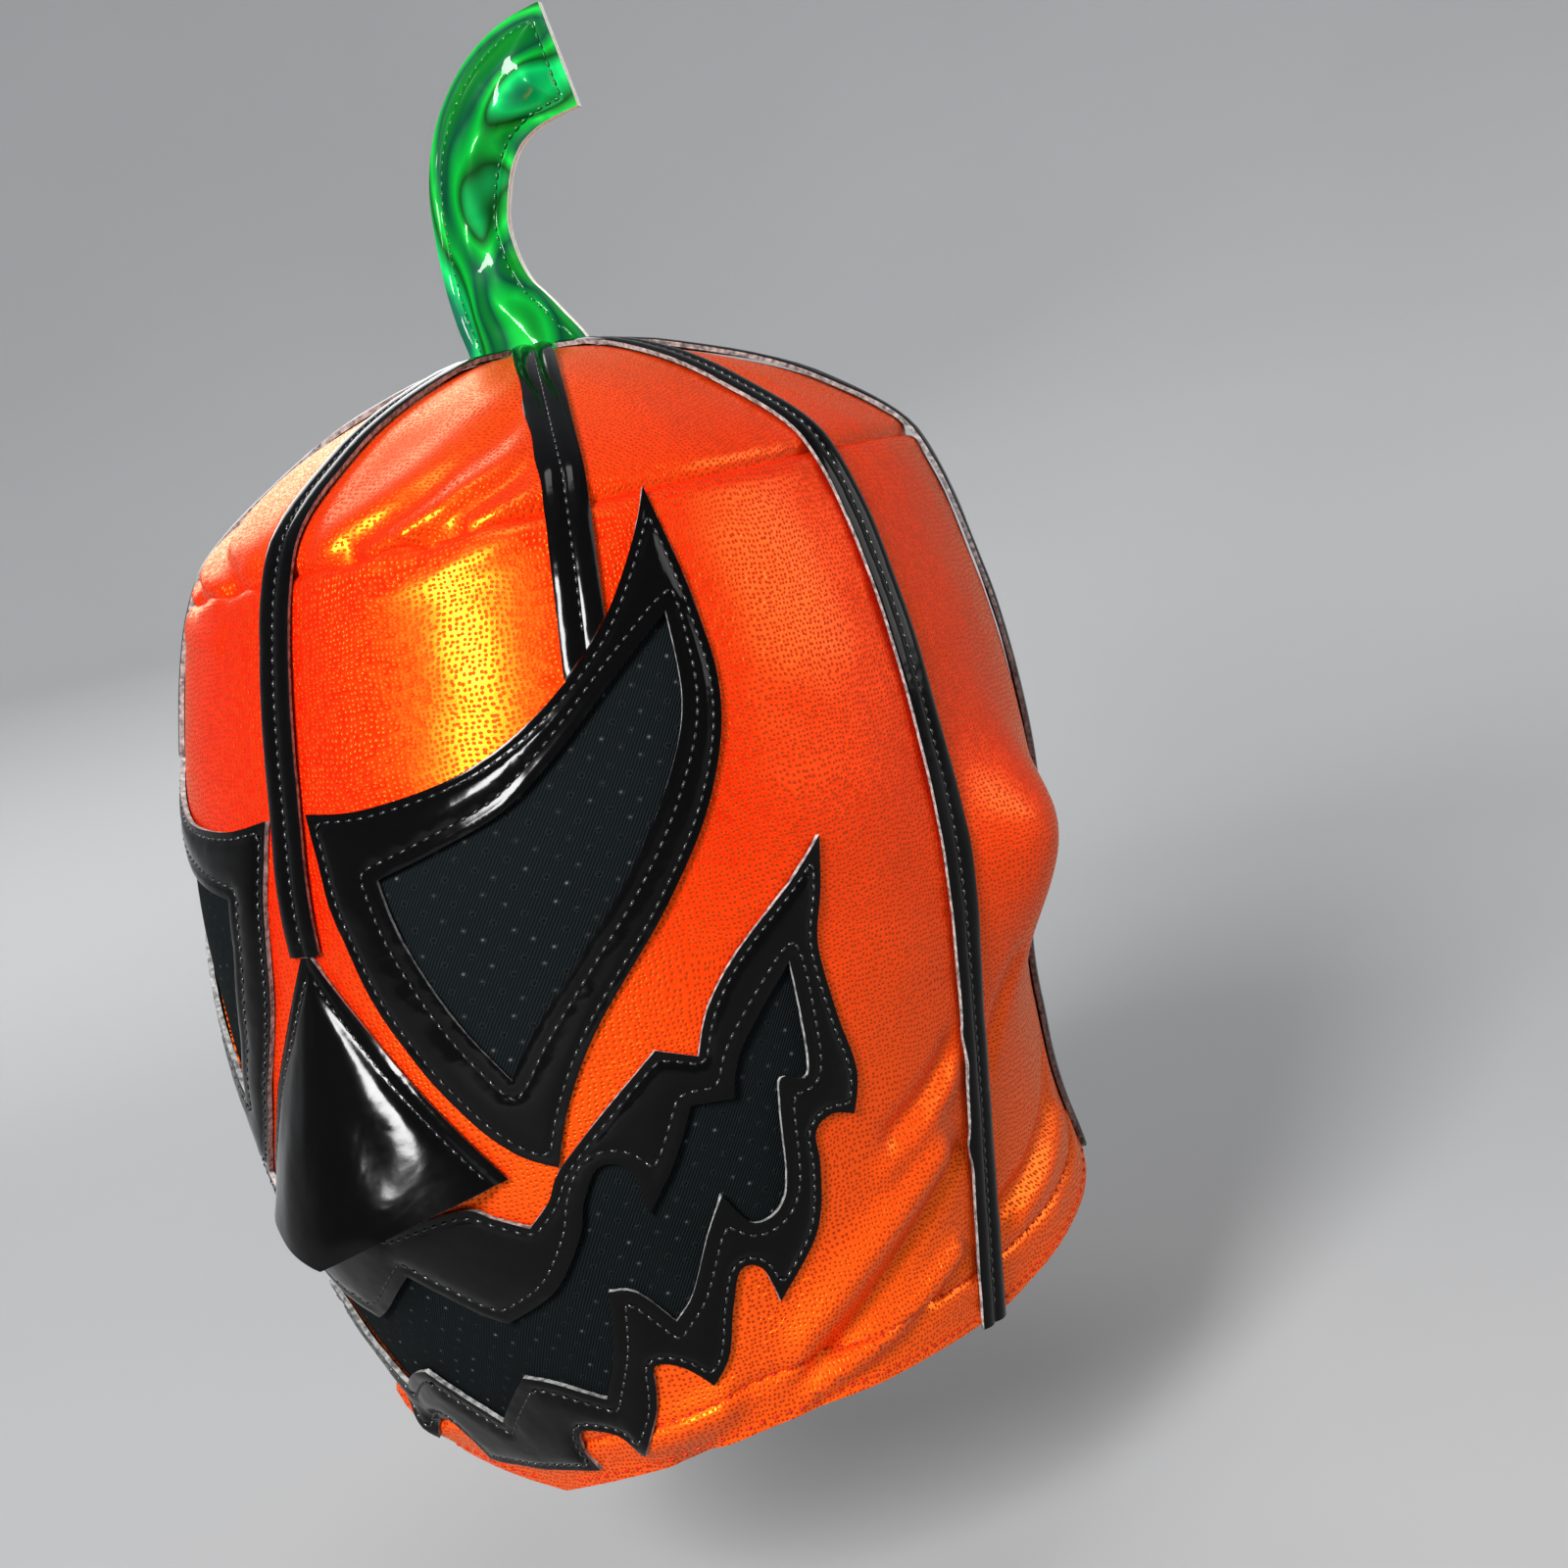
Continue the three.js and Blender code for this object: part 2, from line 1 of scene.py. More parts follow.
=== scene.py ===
# %% [markdown]
# # A pumpkin-face wrestling mask, sewn of foil fabric and gloss vinyl
#
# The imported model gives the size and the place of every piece. This script dresses it:
# each panel is cut flat, as a pattern maker would cut it, and then laid over the head form.
# Work goes from the biggest form to the smallest: head form, cloth, vinyl, mesh, stem,
# stitches, finishes, and last the light and the camera.

import bpy
import numpy as np
from mathutils import Matrix, Vector
from mathutils.geometry import delaunay_2d_cdt


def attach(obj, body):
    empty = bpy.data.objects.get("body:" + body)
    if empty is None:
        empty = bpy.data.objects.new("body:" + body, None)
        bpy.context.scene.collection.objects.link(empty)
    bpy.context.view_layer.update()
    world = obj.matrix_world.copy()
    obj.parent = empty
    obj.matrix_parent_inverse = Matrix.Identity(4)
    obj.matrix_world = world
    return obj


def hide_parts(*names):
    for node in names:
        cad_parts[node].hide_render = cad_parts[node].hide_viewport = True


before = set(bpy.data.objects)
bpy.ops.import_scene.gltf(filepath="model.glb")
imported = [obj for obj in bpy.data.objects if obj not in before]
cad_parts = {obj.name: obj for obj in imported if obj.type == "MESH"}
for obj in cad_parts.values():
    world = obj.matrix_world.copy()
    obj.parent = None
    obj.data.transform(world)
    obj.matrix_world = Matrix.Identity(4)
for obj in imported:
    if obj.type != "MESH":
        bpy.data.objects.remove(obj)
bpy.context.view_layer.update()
bpy.ops.object.select_all(action="DESELECT")
print("solids in the frame:", len(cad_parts))

# %% [markdown]
# ## The head form
#
# A worn hood takes the shape of the head under it. One rule gives that shape: the distance
# from the head's upright axis, for a direction round the head and a drop below the crown.
# Four short columns of shares set it, and a curve that never overshoots joins their rows.
# A sculpted mesh would do too, but a rule lets every piece ask for a point and for the
# direction that stands square off the cloth there.

# %% Sizes of the head form
mm = 0.001
HEAD_HALF_WIDTH = 78 * mm
FACE_REACH = 95 * mm
BACK_REACH = 91 * mm
HOOD_DEPTH = 230 * mm
ROUNDNESS = 2.3
CLOTH_THICK = 1.5 * mm
VINYL_THICK = 1 * mm
MESH_THICK = 1 * mm
SEAM_GAP = 0.3 * mm
MESH_LAP = 1.7 * mm

# Columns: drop, side, face and back reach, each a share of its named size.
HEAD_SECTIONS = [
    (0, 0, 0, 0),
    (0.007, 0.17, 0.16, 0.17),
    (0.035, 0.385, 0.358, 0.396),
    (0.087, 0.628, 0.611, 0.791),
    (0.157, 0.859, 0.826, 0.967),
    (0.239, 0.942, 0.905, 0.995),
    (0.348, 0.987, 0.963, 1),
    (0.457, 1, 1, 0.978),
    (0.565, 0.981, 1, 0.934),
    (0.674, 0.942, 0.984, 0.879),
    (0.783, 0.885, 0.9, 0.83),
    (0.891, 0.827, 0.789, 0.786),
    (1, 0.776, 0.637, 0.725),
]
# Ear, hollow behind it, flare over the nape, and the flatter back of the crown.
# Columns: height, degrees round, drop share, half width in degrees, and half height above
# and below as shares.
SIDE_FORMS = [
    (9.5 * mm, 109, 0.532, 13, 0.074, 0.105),
    (-4.5 * mm, 124, 0.63, 24, 0.07, 0.1),
    (9 * mm, 134, 0.896, 26, 0.096, 0.174),
    (-2.5 * mm, 130, 0.2, 40, 0.13, 0.16),
]
CROWN_DIP = 3.4 * mm
CROWN_DIP_REACH = 32 * mm


def read_table(rows, column, at):
    """Reads a column between its rows on a curve that never overshoots."""
    x = np.array([row[0] for row in rows], float)
    y = np.array([row[column] for row in rows], float)
    slope = np.diff(y) / np.diff(x)
    product = slope[:-1] * slope[1:]
    total = np.where(product > 0, slope[:-1] + slope[1:], 1)
    inner = np.where(product > 0, 2 * product / total, 0)
    tangent = np.concatenate([slope[:1], inner, slope[-1:]])
    at = np.clip(at, x[0], x[-1])
    k = np.clip(np.searchsorted(x, at) - 1, 0, len(x) - 2)
    span = x[k + 1] - x[k]
    t = (at - x[k]) / span
    rise = y[k + 1] - y[k]
    bend = span * (tangent[k] * (1 - t) - tangent[k + 1] * t)
    return y[k] + rise * t * t * (3 - 2 * t) + bend * t * (1 - t)


def wrapped(around):
    """Degrees round from the face, between minus and plus half a turn."""
    return (np.asarray(around, float) + 540) % 360 - 180


def head_reach(around, drop):
    """Distance from the head's axis to the outside of the cloth."""
    least = 0.01 * mm
    share = np.asarray(drop, float) / HOOD_DEPTH
    around = wrapped(around)
    angle = np.radians(around)
    side = np.maximum(read_table(HEAD_SECTIONS, 1, share) * HEAD_HALF_WIDTH, least)
    face = read_table(HEAD_SECTIONS, 2, share) * FACE_REACH
    back = read_table(HEAD_SECTIONS, 3, share) * BACK_REACH
    ahead = np.maximum(np.where(np.cos(angle) > 0, face, back), least)
    across = np.abs(np.sin(angle)) / side
    along = np.abs(np.cos(angle)) / ahead
    reach = (across**ROUNDNESS + along**ROUNDNESS) ** (-1 / ROUNDNESS)
    for height, middle, level, half_width, above, below in SIDE_FORMS:
        turn = (np.abs(around) - middle) / half_width
        fall = (share - level) / np.where(share < level, above, below)
        reach = reach + height * np.exp(-turn * turn - fall * fall)
    return reach


# %% [markdown]
# ## Folds
#
# The hood is loose below the jaw, so the cloth falls in long soft folds from the chin
# towards the ear, and the crown shows a few short pulls. Cloth simulation could make folds,
# but not these folds in these places. So each one is a soft ridge or crease along a path:
# its height fades with the distance from the path, and to nothing beside a sewn seam.

# %% Folds of the cloth
# Columns: height, half width, and a path of degrees round and drop.
FOLDS = [
    (3 * mm, 4.4 * mm, [(24, 0.92), (35, 0.9), (46, 0.872), (58, 0.822), (67, 0.791), (77, 0.757)]),
    (-2.2 * mm, 2.5 * mm, [(27, 0.95), (42, 0.913), (54, 0.878), (66, 0.835), (78, 0.79), (85, 0.765)]),
    (2.2 * mm, 3 * mm, [(34, 0.935), (47, 0.912), (58, 0.896), (68, 0.878), (80, 0.852)]),
    (-1.3 * mm, 2 * mm, [(46, 0.925), (60, 0.905), (72, 0.885), (82, 0.865)]),
    (-1.6 * mm, 2.4 * mm, [(68, 0.722), (77, 0.698), (85, 0.668)]),
    (1.4 * mm, 2.8 * mm, [(66, 0.75), (76, 0.725), (85, 0.695)]),
    (-2.2 * mm, 2.8 * mm, [(126, 0.75), (116, 0.792), (105, 0.825), (95, 0.842)]),
    (1.4 * mm, 3.2 * mm, [(122, 0.8), (112, 0.832), (101, 0.856)]),
    (-1.6 * mm, 2.5 * mm, [(105, 0.63), (99, 0.665), (94, 0.705)]),
    (1.2 * mm, 4 * mm, [(8, 0.158), (18, 0.125), (28, 0.085), (38, 0.052)]),
    (-1.7 * mm, 2.8 * mm, [(12, 0.168), (22, 0.143), (32, 0.108), (41, 0.078)]),
    (1.5 * mm, 2.4 * mm, [(15, 0.174), (24, 0.155), (33, 0.128), (41, 0.103)]),
    (-1.3 * mm, 2.2 * mm, [(23, 0.172), (31, 0.155), (41, 0.127)]),
    (1.1 * mm, 2 * mm, [(29, 0.174), (35, 0.163), (41, 0.148)]),
    (0.8 * mm, 2.6 * mm, [(14, 0.214), (25, 0.202), (36, 0.186)]),
]
DEGREE = np.radians(1) * HEAD_HALF_WIDTH
# Degrees round of the sewn seams, and how many degrees from one the folds begin.
SEWN_ANGLES = (0, 41.5, 88.9, 135, 180)
SEWN_REACH = 5


def path_distance(points, path, closed=False):
    """Distance from each point to a path of straight stretches."""
    path = np.asarray(path, float)
    start = path if closed else path[:-1]
    end = np.roll(path, -1, axis=0) if closed else path[1:]
    nearest = np.full(len(points), np.inf)
    for low in range(0, len(points), 2000):
        away = points[low : low + 2000, None, :] - start[None]
        along = (end - start)[None]
        t = (away * along).sum(-1) / np.maximum((along * along).sum(-1), 1e-18)
        gap = away - np.clip(t, 0, 1)[..., None] * along
        nearest[low : low + 2000] = np.sqrt((gap * gap).sum(-1)).min(1)
    return nearest


def fold_relief(around, drop):
    """Height of the folds, the same on both sides of the head."""
    places = np.stack([np.abs(wrapped(around)) * DEGREE, drop], -1)
    relief = np.zeros(len(places))
    for height, width, path in FOLDS:
        line = [(turn * DEGREE, share * HOOD_DEPTH) for turn, share in path]
        relief += height * np.exp(-((path_distance(places, line) / width) ** 2))
    for angle in SEWN_ANGLES:
        relief *= 1 - np.exp(-(((np.abs(wrapped(around)) - angle) / SEWN_REACH) ** 4))
    return relief


def skin(around, drop):
    """Points on the outside of the cloth."""
    far = head_reach(around, drop) + fold_relief(around, drop)
    angle = np.radians(around)
    dip = CROWN_DIP * np.exp(-((far / CROWN_DIP_REACH) ** 2))
    return np.stack([far * np.sin(angle), -far * np.cos(angle), CLOTH_THICK - dip - drop], -1)


def outward(around, drop):
    """Directions that stand square off the cloth."""
    turn, fall = 0.4, 0.4 * mm
    drop = np.maximum(drop, 2 * fall)
    right = skin(around + turn, drop) - skin(around - turn, drop)
    down = skin(around, drop + fall) - skin(around, drop - fall)
    normal = np.cross(down, right)
    return normal / np.linalg.norm(normal, axis=-1, keepdims=True)


def on_skin(around, drop, lift):
    """Points at a height over the cloth."""
    around, drop = np.atleast_1d(around).astype(float), np.atleast_1d(drop).astype(float)
    lift = np.broadcast_to(lift, around.shape)[:, None]
    return skin(around, drop) + outward(around, drop) * lift


# %% [markdown]
# ## Flat patterns
#
# Every cloth and vinyl piece starts as an outline on the flat pattern: how far round the
# head, and how far down. Corners stay sharp and the stretches between them are smooth
# curves through a few chosen points. The knife tool needs a window, so a triangulation
# fills the outline instead, with rows beside its edges where the sewing bends the sheet.

# %% Outlines of the face
# Columns: degrees round, drop share, 1 at a corner.
EYE_BORDER = [
    (51.5, 0.172, 1), (53.8, 0.265, 0), (54, 0.34, 0), (50, 0.411, 0), (42.3, 0.483, 0),
    (32.5, 0.559, 0), (27.4, 0.615, 0), (24.7, 0.661, 1), (20.3, 0.643, 0), (15.2, 0.6, 0),
    (9.2, 0.526, 0), (6, 0.455, 0), (4.5, 0.4, 0), (3.4, 0.363, 1), (11.6, 0.367, 0),
    (23, 0.356, 0), (32.4, 0.326, 0), (41.1, 0.276, 0), (47.9, 0.213, 0),
]
EYE_OPENING = [
    (49.9, 0.268, 1), (49.4, 0.33, 0), (46.6, 0.379, 0), (40, 0.446, 0), (31.2, 0.513, 0),
    (25.6, 0.556, 0), (22.2, 0.588, 1), (17.6, 0.534, 0), (14, 0.474, 0), (12.2, 0.421, 1),
    (19.7, 0.407, 0), (27.6, 0.388, 0), (34.1, 0.356, 0), (42.7, 0.305, 0),
]
# The mouth runs from the middle of the top lip to the middle of the chin.
MOUTH_BORDER = [
    (0, 0.703, 1), (11.9, 0.684, 0), (16.1, 0.694, 0), (19.6, 0.705, 1), (22.6, 0.686, 0),
    (24.7, 0.663, 0), (30.9, 0.625, 0), (37.5, 0.589, 1), (42, 0.602, 1), (44.2, 0.568, 0),
    (49.1, 0.531, 0), (57.8, 0.49, 0), (62.9, 0.463, 1), (61.6, 0.503, 0), (59.6, 0.546, 0),
    (60.6, 0.605, 0), (62.3, 0.655, 0), (60.8, 0.688, 1), (57.4, 0.681, 0), (54.6, 0.69, 0),
    (54.4, 0.721, 0), (52.6, 0.771, 0), (45.8, 0.819, 1), (44.2, 0.786, 0), (41.4, 0.781, 0),
    (39.4, 0.812, 0), (37.6, 0.85, 0), (34.7, 0.876, 1), (31.3, 0.852, 0), (27.9, 0.845, 0),
    (26.8, 0.87, 0), (25.3, 0.9, 0), (22.3, 0.928, 1), (18.7, 0.907, 0), (13.6, 0.9, 0),
    (11.8, 0.924, 0), (12.4, 0.945, 1), (0, 0.947, 1),
]
MOUTH_OPENING = [
    (0, 0.741, 1), (7.8, 0.776, 0), (11.6, 0.788, 1), (19.4, 0.763, 0), (24.5, 0.721, 0),
    (26.4, 0.69, 0), (28.9, 0.667, 0), (32, 0.676, 0), (32.7, 0.714, 1), (36.9, 0.676, 0),
    (40, 0.638, 1), (44.9, 0.642, 1), (47.2, 0.604, 0), (55.2, 0.551, 1), (55.4, 0.6, 0),
    (54.8, 0.643, 0), (51.2, 0.638, 0), (50.3, 0.663, 0), (48.9, 0.732, 0), (44.4, 0.746, 0),
    (41.1, 0.715, 1), (38.3, 0.746, 0), (35, 0.79, 0), (32.2, 0.81, 1), (28.6, 0.776, 0),
    (25.5, 0.771, 1), (23.5, 0.824, 0), (19.9, 0.869, 1), (13.6, 0.849, 0), (9.3, 0.842, 1),
    (0, 0.892, 1),
]
EDGE_STEP = 1.1 * mm


def flat_place(around, drop):
    """Flat pattern points for places on the head."""
    across = np.asarray(around, float) * DEGREE
    return np.stack(np.broadcast_arrays(across, np.asarray(drop, float)), -1)


def head_place(flat):
    """Degrees round and drop of flat pattern points."""
    return flat[:, 0] / DEGREE, flat[:, 1]


def smooth_run(points, step):
    """A curve through the points of one run, without its last point."""
    ends = np.vstack([points[:1], points, points[-1:]])
    curve = []
    for before, here, there, after in zip(ends, ends[1:], ends[2:], ends[3:]):
        count = max(1, round(np.linalg.norm(there - here) / step))
        t = (np.arange(count) / count)[:, None]
        leave, arrive = (there - before) / 2, (after - here) / 2
        cubic = 2 * here - 2 * there + leave + arrive
        square = 3 * there - 3 * here - 2 * leave - arrive
        curve.append(cubic * t**3 + square * t**2 + leave * t + here)
    return np.vstack(curve)


def trace(table, closed=True, step=EDGE_STEP):
    """A flat outline from a table, smooth between its corners."""
    rows = table + table[:1] if closed else table
    outline, run = [], []
    for around, share, corner in rows:
        run.append(flat_place(around, share * HOOD_DEPTH))
        if corner and len(run) > 1:
            outline.append(smooth_run(np.array(run), step))
            run = [run[-1]]
    return np.vstack(outline if closed else outline + [run[0][None]])


def mirrored(outline):
    """The same outline on the other side of the face."""
    return (outline * [-1, 1])[::-1]


def both_sides(half):
    """The whole outline of a shape that lies across the middle."""
    return np.vstack([half, (half * [-1, 1])[::-1][1:-1]])


def flat_area(outline):
    """Signed area of a flat outline."""
    x, y = outline[:, 0], outline[:, 1]
    return 0.5 * np.sum(x * np.roll(y, -1) - np.roll(x, -1) * y)


def inside(points, outline):
    """True for each point that lies inside a closed outline."""
    start, end = outline, np.roll(outline, -1, axis=0)
    result = np.zeros(len(points), bool)
    for (x0, y0), (x1, y1) in zip(start, end):
        if y0 != y1:
            spans = (y0 > points[:, 1]) != (y1 > points[:, 1])
            cross = x0 + (points[:, 1] - y0) * (x1 - x0) / (y1 - y0)
            result ^= spans & (points[:, 0] < cross)
    return result


def resampled(path, step, closed):
    """The same path with points at even steps."""
    path = np.vstack([path, path[:1]]) if closed else np.asarray(path)
    length = np.concatenate([[0], np.cumsum(np.linalg.norm(np.diff(path, axis=0), axis=1))])
    count = max(3 if closed else 1, round(length[-1] / step))
    at = np.linspace(0, length[-1], count + 1)[: count if closed else count + 1]
    return np.stack([np.interp(at, length, path[:, k]) for k in range(path.shape[1])], -1)


def offset_outline(outline, by, step=EDGE_STEP):
    """An outline moved outwards by a distance, or inwards if that is negative."""
    most_stretch, kept = 1.6, 0.97
    ahead = np.roll(outline, -1, axis=0) - outline
    ahead = ahead / np.maximum(np.linalg.norm(ahead, axis=1, keepdims=True), 1e-9)
    mean = ahead + np.roll(ahead, 1, axis=0)
    mean = mean / np.maximum(np.linalg.norm(mean, axis=1, keepdims=True), 1e-9)
    stretch = np.minimum(1 / np.maximum((mean * ahead).sum(1), 0.1), most_stretch)
    side = np.sign(flat_area(outline))
    moved = outline + np.stack([mean[:, 1], -mean[:, 0]], 1) * (by * side * stretch)[:, None]
    moved = moved[path_distance(moved, outline, closed=True) > kept * abs(by)]
    return resampled(moved, step, closed=True)


eye_border = trace(EYE_BORDER)
eye_opening = trace(EYE_OPENING)
mouth_border = both_sides(trace(MOUTH_BORDER, closed=False))
mouth_opening = both_sides(trace(MOUTH_OPENING, closed=False))
print("points round the mouth border:", len(mouth_border))

# %% [markdown]
# ## Cutting and laying a piece
#
# A pattern piece becomes a mesh in three moves: fill the flat outline with small triangles,
# lay every point over the head form at its height, and give the sheet its thickness with
# Solidify. The thickness gets its own material on the cut edge, because coated vinyl shows
# its pale backing there.


# %% Fill, lay and thicken
def cut_flat(outline, holes=(), grid=1.9 * mm, rows=(), lines=()):
    """Fills a flat outline with triangles: rows beside its edges, lines and a grid inside."""
    loops = [outline, *holes]
    beside = []
    for row in rows:
        beside.append(offset_outline(outline, -row))
        beside += [offset_outline(hole, row) for hole in holes]
    beside = [ring for ring in beside if len(ring) > 3]
    low, high = outline.min(0), outline.max(0)
    x, y = np.meshgrid(
        np.arange(low[0], high[0], grid), np.arange(low[1], high[1], grid * 0.87)
    )
    x = x + (np.arange(len(x)) % 2)[:, None] * grid / 2
    field = np.stack([x.ravel(), y.ravel()], 1)
    for line in lines:
        field = field[path_distance(field, line) > 0.4 * grid]
    inner = np.vstack([field, *beside, *lines])
    keep = inside(inner, outline)
    for hole in holes:
        keep &= ~inside(inner, hole)
    clear = np.full(len(inner), 0.45 * grid)
    if rows:
        clear[: len(field)] += max(rows)
        clear[len(field) :] = 0.4 * min(rows)
    for loop in loops:
        keep &= path_distance(inner, loop, closed=True) > clear
    inner = inner[keep]
    points = np.vstack([*loops, inner])
    edges, first = [], 0
    for loop in loops:
        count = len(loop)
        edges += [(first + i, first + (i + 1) % count) for i in range(count)]
        first += count
    flat = [Vector(point) for point in points]
    made, _, faces, *_ = delaunay_2d_cdt(flat, edges, [], 0, 1e-6)
    made = np.array(made)
    faces = np.array([face for face in faces if len(face) == 3])
    middle = made[faces].mean(1)
    keep = inside(middle, outline)
    for hole in holes:
        keep &= ~inside(middle, hole)
    faces = faces[keep]
    used = np.unique(faces)
    index = np.zeros(len(made), int)
    index[used] = np.arange(len(used))
    return made[used], index[faces]


def new_piece(name, points, faces, uv, materials):
    """A mesh object with its pattern coordinates, its faces turned outwards."""
    faces = [list(map(int, face)) for face in faces]
    points = np.asarray(points)
    corners = np.array([face[:3] for face in faces])
    normal = np.cross(
        points[corners[:, 1]] - points[corners[:, 0]], points[corners[:, 2]] - points[corners[:, 0]]
    )
    centre = points[corners].mean(1) * [1, 1, 0.3] + [0, 0, 0.03]
    if (normal * centre).sum() < 0:
        faces = [face[::-1] for face in faces]
    mesh = bpy.data.meshes.new(name)
    mesh.from_pydata(points.tolist(), [], faces)
    layer = mesh.uv_layers.new(name="pattern")
    loop_points = np.zeros(len(mesh.loops), int)
    mesh.loops.foreach_get("vertex_index", loop_points)
    layer.data.foreach_set("uv", np.asarray(uv)[loop_points].astype(np.float32).ravel())
    piece = bpy.data.objects.new(name, mesh)
    bpy.context.collection.objects.link(piece)
    for material in materials:
        mesh.materials.append(material)
    return piece


def apply_modifier(piece, kind, **settings):
    """Adds a modifier with these settings and applies it."""
    bpy.ops.object.select_all(action="DESELECT")
    piece.select_set(True)
    bpy.context.view_layer.objects.active = piece
    modifier = piece.modifiers.new(kind.lower(), kind)
    for key, value in settings.items():
        setattr(modifier, key, value)
    bpy.ops.object.modifier_apply(modifier=modifier.name)


SMOOTH_ANGLE = np.radians(50)


def finish_sheet(piece, thickness):
    """Gives a sheet its thickness inwards, and smooths all but its cut edges."""
    apply_modifier(
        piece, "SOLIDIFY", thickness=thickness, offset=-1,
        material_offset=1, material_offset_rim=2,
    )
    bpy.ops.object.shade_smooth_by_angle(angle=SMOOTH_ANGLE)
    piece.select_set(False)


def place_piece(piece, slot, *nodes):
    """Makes the piece ride the mask and stand for its nodes. The slot is not used."""
    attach(piece, "root")
    if nodes:
        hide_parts(*nodes)
    return piece


def blank_material(name):
    """A new node material and its main shader."""
    material = bpy.data.materials.new(name)
    material.use_nodes = True
    return material, material.node_tree.nodes["Principled BSDF"]


foil, foil_shader = blank_material("foil_stretch_fabric")
cloth_back, cloth_back_shader = blank_material("fabric_back")
vinyl, vinyl_shader = blank_material("gloss_black_vinyl")
backing, backing_shader = blank_material("pale_vinyl_backing")
knit, knit_shader = blank_material("knit_mesh")
green, green_shader = blank_material("green_holographic_vinyl")
black_thread, black_thread_shader = blank_material("black_thread")
red_thread, red_thread_shader = blank_material("red_thread")
green_thread, green_thread_shader = blank_material("green_thread")
stem_edge, stem_edge_shader = blank_material("cream_vinyl_backing")

# %% [markdown]
# ## Cloth panels
#
# Eight wedges make the crown and six tall panels hang from its seam. On the real mask the
# edges of two panels turn in where they are sewn, which shows as a narrow valley. The
# bottom edge is folded up once and topstitched, so it is a little thicker. Both are worked
# into the height of the points before the sheet is thickened.

# %% Seams and hem
SEAM_DROP = 37 * mm
SEAM_TILT = 0.045
RIB_ANGLES = {"front": 41.5, "side": 88.9, "back": 135, "centre": 180}
HEM_HEIGHT = 10.5 * mm
HEM_ROWS = (-1.9 * mm, -1.2 * mm, -0.6 * mm, 0, 0.7 * mm)
# Columns: degrees round, drop share of the bottom edge.
HEM_LINE = [
    (0, 0.978), (17, 0.957), (50, 0.926), (90, 0.926),
    (104, 0.916), (120, 0.888), (135, 0.85), (180, 0.84),
]
SEAM_VALLEY = 1.2 * mm
SEAM_PUCKER = 0.35 * mm
HEM_STEP = 0.3 * mm
HEM_GROOVE = 0.8 * mm
HEM_GROOVE_RISE = 0.6 * mm
HEM_PUCKER = 0.25 * mm
HEM_ROLL = 0.35 * mm
LONG_SWELL = 0.28 * mm
SHORT_SWELL = 0.07 * mm


def seam_drop(around):
    """Drop of the crown seam, which is lower over the face."""
    drop = np.full(np.shape(around), SEAM_DROP)
    for _ in range(4):
        drop = SEAM_DROP + SEAM_TILT * head_reach(around, drop) * np.cos(np.radians(around))
    return drop


def hem_drop(around):
    """Drop of the bottom edge."""
    return read_table(HEM_LINE, 1, np.abs(wrapped(around))) * HOOD_DEPTH


def ripple(u, v, wavelength, seed):
    """An even random swell, made of a few waves in random directions."""
    random = np.random.default_rng(seed)
    waves = 7
    total = np.zeros(len(u))
    for _ in range(waves):
        angle, phase = random.uniform(0, 2 * np.pi, 2)
        turn = 2 * np.pi / (wavelength * random.uniform(0.7, 1.4))
        total += np.sin((u * np.cos(angle) + v * np.sin(angle)) * turn + phase)
    return total / waves


def ridge(distance, width):
    """1 on a line, fading to 0 away from it."""
    return np.exp(-((distance / width) ** 2))


def sewn_lift(around, drop):
    """Height that the seams, the hem and small swells give the cloth."""
    u, v = np.asarray(around) * DEGREE, np.asarray(drop)
    from_seam = drop - seam_drop(around)
    pucker = 0.5 + 0.5 * ripple(u, v * 0.2, 7 * mm, 3)
    lift = -SEAM_VALLEY * ridge(from_seam, 0.9 * mm)
    lift += SEAM_PUCKER * pucker * ridge(np.abs(from_seam) - 3 * mm, 1.8 * mm)
    above_hem = hem_drop(around) - drop
    lift += HEM_STEP / (1 + np.exp((above_hem - HEM_HEIGHT) / (0.5 * mm)))
    lift -= HEM_GROOVE * ridge(above_hem - HEM_HEIGHT + HEM_GROOVE_RISE, 0.7 * mm)
    lift += HEM_PUCKER * pucker * ridge(above_hem - HEM_HEIGHT + 3 * mm, 2.4 * mm)
    lift += HEM_ROLL * ridge(above_hem, 1.6 * mm)
    lift += LONG_SWELL * ripple(u, v, 26 * mm, 5) + SHORT_SWELL * ripple(u, v, 9 * mm, 6)
    return lift


# %% Crown wedges
# The crown is spread flat by its length along one line from the middle down to the seam.
MERIDIAN_ANGLE = 62.0
MERIDIAN_DROP = 60 * mm
MERIDIAN_POINTS = 241
crown_arc_drops = np.linspace(0, MERIDIAN_DROP, MERIDIAN_POINTS)
crown_meridian = skin(np.full(MERIDIAN_POINTS, MERIDIAN_ANGLE), crown_arc_drops)
crown_arcs = np.concatenate(
    [[0], np.cumsum(np.linalg.norm(np.diff(crown_meridian, axis=0), axis=1))]
)


def crown_flat(around, drop):
    """Points of the crown spread flat round its middle."""
    arc = np.interp(drop, crown_arc_drops, crown_arcs)
    angle = np.radians(around)
    return np.stack([arc * np.sin(angle), arc * np.cos(angle)], -1)


def crown_place(flat):
    """Degrees round and drop of flat crown points."""
    arc = np.linalg.norm(flat, axis=1)
    around = np.degrees(np.arctan2(flat[:, 0], flat[:, 1]))
    return around, np.interp(arc, crown_arcs, crown_arc_drops)


CLOTH_ROWS = (0.9 * mm, 2 * mm)
CROWN_GRID = 1.5 * mm
LEAST_FILL = 0.31
sheet_facts = []


